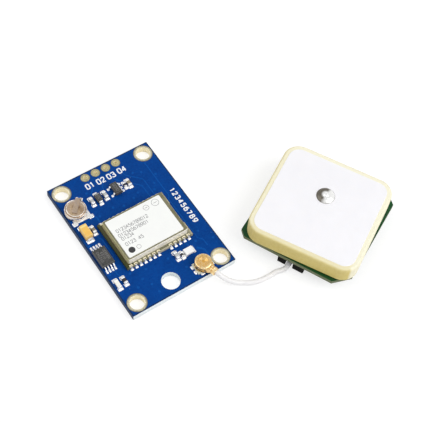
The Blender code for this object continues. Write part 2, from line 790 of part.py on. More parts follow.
def build_regulator(x, y):
    body = moulded_mesh(REGULATOR_WIDTH, REGULATOR_LENGTH, REGULATOR_HEIGHT, LEAD_THICKNESS / 2)
    add("regulator_body", body, "black moulding", (x, y, SEAT))
    lead = strip_mesh(lead_outline(REGULATOR_LEAD_REACH, REGULATOR_HEIGHT / 2), REGULATOR_LEAD_WIDTH)
    half = REGULATOR_WIDTH / 2
    pitch = REGULATOR_PITCH
    right = [(half, pitch, 0.0), (half, 0.0, 0.0), (half, -pitch, 0.0)]
    left = [(-half, -pitch, math.pi), (-half, pitch, math.pi)]
    sides = right + left
    for index, (side, along, turn) in enumerate(sides, start=1):
        add(f"regulator_lead_{index}", lead, "bright tin", (x + side, y + along, SEAT), turn)


def build_memory():
    x = -CARRIER_WIDTH / 2 - MEMORY_FROM_MODULE - MEMORY_WIDTH / 2
    y = MODULE_Y - MEMORY_BELOW_MODULE
    body = moulded_mesh(MEMORY_WIDTH, MEMORY_LENGTH, MEMORY_HEIGHT, LEAD_THICKNESS / 2)
    add("memory_body", body, "black moulding", (x, y, SEAT))
    lead = strip_mesh(lead_outline(MEMORY_LEAD_REACH, MEMORY_HEIGHT / 2), MEMORY_LEAD_WIDTH)
    first = -MEMORY_PITCH * (MEMORY_LEADS_A_SIDE - 1) / 2
    number = 0
    for side in (-1, 1):
        for index in range(MEMORY_LEADS_A_SIDE):
            number += 1
            place = (x - side * (first + MEMORY_PITCH * index), y + side * MEMORY_LENGTH / 2, SEAT)
            add(f"memory_lead_{number}", lead, "bright tin", place, side * math.pi / 2)


def build_chips():
    """The two-terminal parts outside the row under the header."""
    side_x = LEFT + TANTALUM_FROM_SIDE + TANTALUM_WIDTH / 2 + SIDE_CAPACITOR_GAP + CHIP_WIDTH / 2
    side_y = HEADER_EDGE - TANTALUM_FROM_HEADER_EDGE
    add_chip("side_capacitor", "tan ceramic", side_x, side_y, CHIP_LENGTH, CHIP_WIDTH, CHIP_HEIGHT)
    chip = (CHIP_LENGTH, CHIP_WIDTH, CHIP_HEIGHT)
    light_x = LEFT + LIGHT_FROM_SIDE
    light_y = SOCKET_EDGE + LIGHT_FROM_SOCKET_EDGE
    add_chip("status_led", "white ceramic", light_x, light_y, LED_LENGTH, LED_WIDTH, CHIP_HEIGHT)
    add_chip("led_resistor", "black moulding", light_x + LIGHT_PITCH, light_y, *chip)
    feed_y = MODULE_Y - CARRIER_DEPTH / 2 - FEED_FROM_MODULE
    capacitor_x = RIGHT - FEED_CAPACITOR_FROM_SIDE
    add_chip("feed_capacitor", "tan ceramic", capacitor_x, feed_y, CHIP_LENGTH, CHIP_WIDTH, CHIP_HEIGHT)
    small_width = CHIP_WIDTH * SMALL_CHIP_SCALE
    resistor_x = capacitor_x + CHIP_WIDTH / 2 + FEED_GAP + small_width / 2
    small = [CHIP_LENGTH * SMALL_CHIP_SCALE, small_width, CHIP_HEIGHT * SMALL_CHIP_SCALE]
    add_chip("feed_resistor", "black moulding", resistor_x, feed_y - FEED_STEP, *small)
    inductor_x = resistor_x + small_width / 2 + FEED_GAP + INDUCTOR_LENGTH / 2
    inductor = strip_mesh(chip_outline(INDUCTOR_LENGTH, INDUCTOR_HEIGHT), INDUCTOR_WIDTH)
    add("feed_inductor", inductor, "white ceramic", (inductor_x, feed_y - FEED_STEP, SEAT))


def shell_profile():
    """The socket's ground shell, with the groove that the plug snaps into."""
    inner = SHELL_RADIUS - SHELL_WALL
    waist = SHELL_RADIUS - SHELL_WALL / 3
    return [
        (inner, SHELL_HEIGHT),
        (SHELL_RADIUS, SHELL_HEIGHT),
        (SHELL_RADIUS, SHELL_HEIGHT * 0.8),
        (waist, SHELL_HEIGHT * 0.7),
        (waist, SHELL_HEIGHT * 0.4),
        (SHELL_RADIUS, SHELL_HEIGHT * 0.3),
        (SHELL_RADIUS, 0.0),
        (inner, 0.0),
    ]


def plug_profile():
    """The plug's cap, open below, from its top's middle outwards, down and back inside."""
    bore = SHELL_RADIUS + FIT_GAP
    edge = PLUG_ROOF / 2
    return [
        (0.0, PLUG_HEIGHT),
        (PLUG_RADIUS - edge, PLUG_HEIGHT),
        (PLUG_RADIUS, PLUG_HEIGHT - edge),
        (PLUG_RADIUS, 0.0),
        (bore, 0.0),
        (bore, PLUG_HEIGHT - PLUG_ROOF),
        (0.0, PLUG_HEIGHT - PLUG_ROOF),
    ]


def neck_profile():
    """The plug's neck with its crimps and the bore for the lead, from its start at the cap to its mouth."""
    start = (SHELL_RADIUS + FIT_GAP + PLUG_RADIUS) / 2
    bore = CABLE_RADIUS + 2 * FIT_GAP
    throat = start + 2 * PLUG_ROOF
    length = NECK_LENGTH
    crimp = (length - PLUG_RADIUS) / 5
    return [
        (0.0, start),
        (NECK_RADIUS, start),
        (NECK_RADIUS, PLUG_RADIUS + crimp),
        (NECK_CRIMP_RADIUS, PLUG_RADIUS + crimp),
        (NECK_CRIMP_RADIUS, PLUG_RADIUS + 2 * crimp),
        (NECK_RADIUS, PLUG_RADIUS + 2.4 * crimp),
        (NECK_RADIUS, PLUG_RADIUS + 2.8 * crimp),
        (NECK_CRIMP_RADIUS, PLUG_RADIUS + 3.2 * crimp),
        (NECK_CRIMP_RADIUS, length),
        (bore, length),
        (bore, throat),
        (0.0, throat),
    ]


def build_socket():
    x = RIGHT - SOCKET_FROM_SIDE
    y = SOCKET_EDGE + SOCKET_FROM_EDGE
    base = plate_mesh(rounded_outline(SOCKET_WIDTH, SOCKET_DEPTH, SHELL_WALL, 1), SOCKET_BASE_THICKNESS)
    add("socket_base", base, "white ceramic", (x, y, SEAT))
    on_base = SEAT + SOCKET_BASE_THICKNESS + FIT_GAP
    add("socket_shell", turned_mesh(shell_profile(), HOLE_STEPS, ring=True), "gold plating", (x, y, on_base))
    add("socket_pin", rod_mesh(PIN_RADIUS, PIN_HEIGHT, SMALL_HOLE_STEPS), "gold plating", (x, y, on_base))
    cap_z = on_base + FIT_GAP
    plug = add("coax_plug", turned_mesh(plug_profile(), ROUND_STEPS), "gold plating", (x, y, cap_z))
    neck = turned_mesh(neck_profile(), SMALL_HOLE_STEPS + 4)
    neck.transform(Matrix.Rotation(math.pi / 2, 4, "Y"))
    neck_z = BOARD_THICKNESS + NECK_AXIS_HEIGHT
    boolean(plug, add_cutter("plug_neck", neck, (x, y, neck_z), PLUG_TURN), "UNION")


def build_cable():
    curve = bpy.data.curves.new("antenna_cable", "CURVE")
    curve.dimensions = "3D"
    curve.bevel_depth = CABLE_RADIUS
    curve.bevel_resolution = 2
    curve.use_fill_caps = True
    points = smooth_route(CABLE_ROUTE, CABLE_POINT_SPACING)
    spline = curve.splines.new("POLY")
    spline.points.add(len(points) - 1)
    for knot, point in zip(spline.points, points):
        knot.co = (*point, 1.0)
    curve.materials.append(material_of("white jacket"))
    parts.objects.link(bpy.data.objects.new("antenna_cable", curve))


def feed_profile(head_z, foot_z):
    """The feed pin with its domed solder head, from the head's top down to the foot."""
    dome = []
    for step in range(DOME_STEPS + 1):
        angle = math.pi / 2 * step / DOME_STEPS
        dome.append((FEED_HEAD_RADIUS * math.sin(angle), head_z + FEED_HEAD_HEIGHT * math.cos(angle)))
    return dome + [(FEED_PIN_RADIUS, head_z), (FEED_PIN_RADIUS, foot_z), (0.0, foot_z)]


def build_antenna():
    """The patch antenna in its board's frame: the front edge's middle at the origin, +Y to its back."""
    frame = bpy.data.objects.new("antenna_frame", None)
    frame.location = (ANTENNA_X, ANTENNA_Y, 0.0)
    frame.rotation_euler = (0.0, 0.0, ANTENNA_TURN)
    parts.objects.link(frame)
    ceramic_frame = bpy.data.objects.new("ceramic_frame", None)
    ceramic_frame.location = (0.0, ANTENNA_SIDE / 2, 0.0)
    ceramic_frame.rotation_euler = (0.0, 0.0, CERAMIC_SKEW)
    ceramic_frame.parent = frame
    parts.objects.link(ceramic_frame)
    board_z = SHIELD_HEIGHT + FIT_GAP
    tape_z = board_z + ANTENNA_BOARD_THICKNESS + FIT_GAP
    ceramic_z = tape_z + TAPE_THICKNESS + FIT_GAP
    electrode_z = ceramic_z + CERAMIC_HEIGHT + FIT_GAP
    ceramic_side = ANTENNA_SIDE - 2 * CERAMIC_MARGIN
    tape_side = ANTENNA_SIDE - 2 * TAPE_MARGIN
    electrode_side = ceramic_side - 2 * ELECTRODE_MARGIN
    outlines = {
        "antenna_tape": rounded_outline(tape_side, tape_side, CERAMIC_CORNER - TAPE_MARGIN, CORNER_STEPS),
        "antenna_ceramic": rounded_outline(ceramic_side, ceramic_side, CERAMIC_CORNER, 2 * CORNER_STEPS),
        "antenna_electrode": rounded_outline(
            electrode_side, electrode_side, CERAMIC_CORNER - ELECTRODE_MARGIN, 2 * CORNER_STEPS
        ),
    }
    layers = [
        ("antenna_tape", TAPE_THICKNESS, tape_z, "dark tape"),
        ("antenna_ceramic", CERAMIC_HEIGHT, ceramic_z, "cream ceramic"),
        ("antenna_electrode", ELECTRODE_THICKNESS, electrode_z, "fired silver"),
    ]
    bore = rod_mesh(FEED_PIN_RADIUS + FIT_GAP, 3 * ceramic_z, SMALL_HOLE_STEPS)
    feed_place = (FEED_OFFSET_SIDE, FEED_OFFSET_BACK, 0.0)
    feed_bore = add_cutter("feed_bore", bore, feed_place, parent=ceramic_frame)
    board_mesh = plate_mesh(chamfered_outline(ANTENNA_SIDE, ANTENNA_BOARD_CHAMFERS), ANTENNA_BOARD_THICKNESS)
    board_place = (0.0, ANTENNA_SIDE / 2, board_z)
    board = add("antenna_board", board_mesh, "green solder mask", board_place, parent=frame)
    boolean(board, feed_bore)
    for name, thickness, z, finish in layers:
        layer = add(name, plate_mesh(outlines[name], thickness), finish, (0.0, 0.0, z), parent=ceramic_frame)
        if name == "antenna_ceramic":
            soften(layer, CERAMIC_EDGE, 3)
        boolean(layer, feed_bore)
    head_z = electrode_z + ELECTRODE_THICKNESS + FIT_GAP
    foot_z = board_z - 2 * ELECTRODE_THICKNESS
    pin = turned_mesh(feed_profile(head_z, foot_z), HOLE_STEPS)
    add("antenna_feed_pin", pin, "bright tin", feed_place, parent=ceramic_frame)
    build_amplifier(frame, board_z)
    build_clip(frame)


def build_amplifier(frame, board_z):
    """The shield can under the antenna's board, slotted for the lead, and the amplifier inside."""
    shield = can_object(
        "amplifier_shield",
        "tinned steel",
        SHIELD_SIDE,
        SHIELD_SIDE,
        SHIELD_HEIGHT,
        SHIELD_CORNER,
        SHIELD_EDGE,
        SHIELD_WALL,
        (SHIELD_OFFSET, SHIELD_FROM_FRONT + SHIELD_SIDE / 2, SHIELD_HEIGHT),
        parent=frame,
        inverted=True,
    )
    slot_width = CABLE_DIAMETER + 2 * SHIELD_SLOT_CLEARANCE
    slot = block_mesh(4 * SHIELD_WALL, slot_width, SHIELD_HEIGHT)
    slot_place = (
        SHIELD_OFFSET + SHIELD_SIDE / 2,
        SHIELD_SLOT_FROM_FRONT,
        CABLE_ENTRY_HEIGHT - CABLE_RADIUS - SHIELD_SLOT_CLEARANCE,
    )
    boolean(shield, add_cutter("shield_slot", slot, slot_place, parent=frame))
    amplifier = block_mesh(AMPLIFIER_SIDE, AMPLIFIER_SIDE, AMPLIFIER_HEIGHT)
    amplifier_z = board_z - SOLDER_GAP - AMPLIFIER_HEIGHT
    amplifier_place = (SHIELD_OFFSET + SHIELD_SIDE / 4, SHIELD_SLOT_FROM_FRONT, amplifier_z)
    add("amplifier_chip", amplifier, "black moulding", amplifier_place, parent=frame)


def build_clip(frame):
    """The dark block under the front edge of the antenna's board, with the slot for the lead."""
    side = CLIP_WIDTH / 2
    slot_left = CLIP_SLOT_OFFSET - CLIP_SLOT_WIDTH / 2
    slot_right = CLIP_SLOT_OFFSET + CLIP_SLOT_WIDTH / 2
    top = SHIELD_HEIGHT - 2 * FIT_GAP
    outline = [
        (-side, 0.0),
        (slot_left, 0.0),
        (slot_left, CLIP_SLOT_HEIGHT),
        (slot_right, CLIP_SLOT_HEIGHT),
        (slot_right, 0.0),
        (side, 0.0),
        (side, top),
        (-side, top),
    ]
    place = (CLIP_OFFSET, CLIP_FROM_FRONT + CLIP_DEPTH / 2, FIT_GAP)
    add("lead_clip", strip_mesh(outline, CLIP_DEPTH), "black moulding", place, parent=frame)


clear_scene()
parts = new_collection("gps_receiver_set")
cutters = new_collection("cutters")
build_board()
build_receiver()
build_cell()
build_tantalum()
build_row()
build_memory()
build_chips()
build_socket()
build_cable()
build_antenna()
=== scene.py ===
import math

import bmesh
import bpy
import numpy as np
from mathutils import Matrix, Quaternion, Vector


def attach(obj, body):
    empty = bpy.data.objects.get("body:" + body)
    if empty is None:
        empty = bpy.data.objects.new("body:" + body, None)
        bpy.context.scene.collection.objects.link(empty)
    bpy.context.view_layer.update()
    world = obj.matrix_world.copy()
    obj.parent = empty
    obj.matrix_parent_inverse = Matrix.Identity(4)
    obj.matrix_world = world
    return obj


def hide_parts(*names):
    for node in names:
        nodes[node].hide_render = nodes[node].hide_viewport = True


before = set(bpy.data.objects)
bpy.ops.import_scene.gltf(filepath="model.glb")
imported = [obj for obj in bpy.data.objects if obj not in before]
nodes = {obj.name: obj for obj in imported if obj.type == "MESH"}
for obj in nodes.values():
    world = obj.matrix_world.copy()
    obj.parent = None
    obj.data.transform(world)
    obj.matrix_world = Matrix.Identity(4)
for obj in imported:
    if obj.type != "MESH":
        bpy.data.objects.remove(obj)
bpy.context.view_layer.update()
mm = 0.001  # shapes are worked out in millimetres and stored in metres
perMetre = 1000.0  # turns a pattern's size in millimetres into its rate on object coordinates
boardTop = 1.6
seat = 1.63  # underside of every part that is soldered to the board
sunk = 0.01  # how far a painted layer starts inside what it lies on
sharpFrom = math.radians(35)  # edges between faces that turn by more than this stay sharp
print("frame loaded:", len(nodes), "nodes")

# camera
photoCamera = {
    "place": (-64.356, -98.55, 197.21),
    "forward": (0.34267, 0.40483, -0.84776),
    "roll": math.radians(7.403),
    "lens": 92.07,
    "sensor": 36.0,
}


def placed(name, data):
    # a new object in the scene
    thing = bpy.data.objects.new(name, data)
    bpy.context.scene.collection.objects.link(thing)
    return thing


def makeCamera(look):
    # looks along the forward vector, rolled about it
    data = bpy.data.cameras.new("photoCamera")
    data.lens = look["lens"]
    data.sensor_width = look["sensor"]
    data.clip_start = 0.01
    data.clip_end = 20.0
    camera = placed("photoCamera", data)
    camera.rotation_mode = "QUATERNION"
    aim = Vector(look["forward"]).to_track_quat("-Z", "Y")
    camera.rotation_quaternion = aim @ Quaternion((0.0, 0.0, 1.0), look["roll"])
    camera.location = Vector(look["place"]) * mm
    bpy.context.scene.camera = camera


# node trees
def node(tree, kind, inputs=None, **settings):
    # a new node; each input is linked if it is given a socket and set otherwise
    made = tree.nodes.new(kind)
    for key, value in settings.items():
        setattr(made, key, value)
    for key, value in (inputs or {}).items():
        if isinstance(value, bpy.types.NodeSocket):
            tree.links.new(value, made.inputs[key])
        else:
            made.inputs[key].default_value = value
    return made


def maths(tree, operation, first, second=0.0):
    return node(tree, "ShaderNodeMath", {0: first, 1: second}, operation=operation).outputs[0]


def mixColor(tree, share, first, second):
    made = node(tree, "ShaderNodeMix", {0: share, 6: first, 7: second}, data_type="RGBA")
    return made.outputs[2]


def spread(tree, value, low, high, newLow, newHigh):
    # the value carried from one range to another, and kept inside it
    names = ("Value", "From Min", "From Max", "To Min", "To Max")
    inputs = dict(zip(names, (value, low, high, newLow, newHigh)))
    return node(tree, "ShaderNodeMapRange", inputs).outputs[0]


def newGroup(name, inputs, outputs):
    # a shared effect; each input's kind follows from how many numbers its first value has
    tree = bpy.data.node_groups.new(name, "ShaderNodeTree")
    for label, value in inputs.items():
        kind = {1: "NodeSocketFloat", 3: "NodeSocketVector", 4: "NodeSocketColor"}[np.size(value)]
        tree.interface.new_socket(label, in_out="INPUT", socket_type=kind).default_value = value
    for label in outputs:
        kind = "NodeSocketColor" if label == "Color" else "NodeSocketFloat"
        tree.interface.new_socket(label, in_out="OUTPUT", socket_type=kind)
    return tree, tree.nodes.new("NodeGroupInput").outputs, tree.nodes.new("NodeGroupOutput").inputs


def noiseAt(tree, size, detail, stretch=None):
    # noise whose patches are about size millimetres across, on the object's own coordinates
    place = node(tree, "ShaderNodeTexCoord").outputs["Object"]
    if stretch is not None:
        stretched = node(tree, "ShaderNodeVectorMath", {0: place, 1: stretch}, operation="MULTIPLY")
        place = stretched.outputs[0]
    scale = maths(tree, "DIVIDE", perMetre, size)
    inputs = {"Vector": place, "Scale": scale, "Detail": detail, "Roughness": 0.6}
    return node(tree, "ShaderNodeTexNoise", inputs).outputs[0]


white = (1.0, 1.0, 1.0, 1.0)
evenly = (1.0, 1.0, 1.0)
# the part of the noise's range that each effect stretches out
patchRange = (0.36, 0.68)
grainRange = (0.35, 0.65)
edgeWearAndLightRange = (0.4, 0.6)


def mottleGroup():
    # a second colour that shows through in soft patches
    inputs = {"Color": white, "Patches": white, "Size": 1.0, "Amount": 0.5}
    tree, given, out = newGroup("mottle", inputs, ["Color"])
    patches = spread(tree, noiseAt(tree, given["Size"], 5.0), *patchRange, 0.0, given["Amount"])
    tree.links.new(mixColor(tree, patches, given["Color"], given["Patches"]), out["Color"])
    return tree


def grainGroup():
    # fine unevenness: a height for the bump and a roughness between two values
    inputs = {"Size": 0.1, "Stretch": evenly, "Smooth": 0.3, "Rough": 0.5}
    tree, given, out = newGroup("grain", inputs, ["Height", "Roughness"])
    fine = noiseAt(tree, given["Size"], 3.0, given["Stretch"])
    coarse = noiseAt(tree, maths(tree, "MULTIPLY", given["Size"], 9.0), 4.0, given["Stretch"])
    tree.links.new(fine, out["Height"])
    roughness = spread(tree, coarse, *grainRange, given["Smooth"], given["Rough"])
    tree.links.new(roughness, out["Roughness"])
    return tree


def wearGroup():
    # rubbed edges, and on the plug and the label painted highlights and painted shadows along
    # edges: the mesh's own edge attribute, broken up by noise
    tree, given, out = newGroup("edgeWearAndPaintedLight", {"Size": 0.3, "Amount": 0.5}, ["Mask"])
    edge = node(tree, "ShaderNodeAttribute", attribute_name="edge").outputs["Fac"]
    broken = spread(tree, noiseAt(tree, given["Size"], 4.0), *edgeWearAndLightRange, 0.25, 1.0)
    wearAndEdgeLight = maths(tree, "MULTIPLY", edge, broken)
    tree.links.new(maths(tree, "MULTIPLY", wearAndEdgeLight, given["Amount"]), out["Mask"])
    return tree


def specksGroup():
    # small round specks, one in some of the cells of a Voronoi pattern
    tree, given, out = newGroup("specks", {"Size": 0.8, "Amount": 0.3, "Radius": 0.12}, ["Mask"])
    place = node(tree, "ShaderNodeTexCoord").outputs["Object"]
    scale = maths(tree, "DIVIDE", perMetre, given["Size"])
    cells = node(tree, "ShaderNodeTexVoronoi", {"Vector": place, "Scale": scale})
    picked = node(tree, "ShaderNodeSeparateColor", {0: cells.outputs["Color"]}).outputs[0]
    chosen = maths(tree, "LESS_THAN", picked, given["Amount"])
    inside = maths(tree, "LESS_THAN", cells.outputs["Distance"], given["Radius"])
    tree.links.new(maths(tree, "MULTIPLY", chosen, inside), out["Mask"])
    return tree


def weaveGroup():
    # the glass cloth under a board's lacquer: crossed waves along X and Y
    tree, given, out = newGroup("glassWeave", {"Pitch": 0.5}, ["Height"])
    place = node(tree, "ShaderNodeTexCoord").outputs["Object"]
    axes = node(tree, "ShaderNodeSeparateXYZ", {0: place}).outputs
    rate = maths(tree, "DIVIDE", 2 * math.pi * perMetre, given["Pitch"])
    along = maths(tree, "SINE", maths(tree, "MULTIPLY", axes[0], rate))
    across = maths(tree, "SINE", maths(tree, "MULTIPLY", axes[1], rate))
    crossed = maths(tree, "MULTIPLY", along, across)
    tree.links.new(spread(tree, crossed, -1.0, 1.0, 0.0, 1.0), out["Height"])
    return tree


groups = [mottleGroup(), grainGroup(), wearGroup(), specksGroup(), weaveGroup()]
mottleTree, grainTree, edgeWearAndLightTree, specksTree, weaveTree = groups


def useGroup(tree, group, *values):
    # the values go to the group's inputs in their order; returns its outputs
    return node(tree, "ShaderNodeGroup", dict(enumerate(values)), node_tree=group).outputs


def finish(name, color, patches, mottle, rough, metal=0.0, specular=0.5, grain=(0.08, 0.004),
           tint=None, stainAndPaintedLight=None, specks=None, wearAndEdgeLight=None, weave=None):
    # a Principled material from the shared effects; metal and specular are even all over
    material = bpy.data.materials.new(name)
    material.use_nodes = True
    tree = material.node_tree
    shader = tree.nodes["Principled BSDF"]
    shown = useGroup(tree, mottleTree, (*color, 1.0), (*patches, 1.0), *mottle)[0]
    if tint:
        shown = useGroup(tree, mottleTree, shown, (*tint[0], 1.0), *tint[1:])[0]
    size, depth, stretch = (*grain, evenly)[:3]
    height, roughness = useGroup(tree, grainTree, size, stretch, *rough)[:2]
    # the stain attribute holds real stains on some pieces and painted light and shade on others
    if stainAndPaintedLight:
        mark = node(tree, "ShaderNodeAttribute", attribute_name="stainAndPaintedLight").outputs["Fac"]
        shown = mixColor(tree, mark, shown, (*stainAndPaintedLight, 1.0))
    for effect, group in ((specks, specksTree), (wearAndEdgeLight, edgeWearAndLightTree)):
        if effect:
            mask = useGroup(tree, group, *effect[1:])[0]
            shown = mixColor(tree, mask, shown, (*effect[0], 1.0))
    if weave:
        cloth = useGroup(tree, weaveTree, weave[0])[0]
        height = maths(tree, "ADD", maths(tree, "MULTIPLY", cloth, weave[1]), height)
    bump = node(tree, "ShaderNodeBump", {"Height": height, "Strength": 1.0, "Distance": depth * mm})
    varied = {"Base Color": shown, "Roughness": roughness, "Normal": bump.outputs[0]}
    for socket, output in varied.items():
        tree.links.new(output, shader.inputs[socket])
    shader.inputs["Metallic"].default_value = metal
    shader.inputs["Specular IOR Level"].default_value = specular
    return material


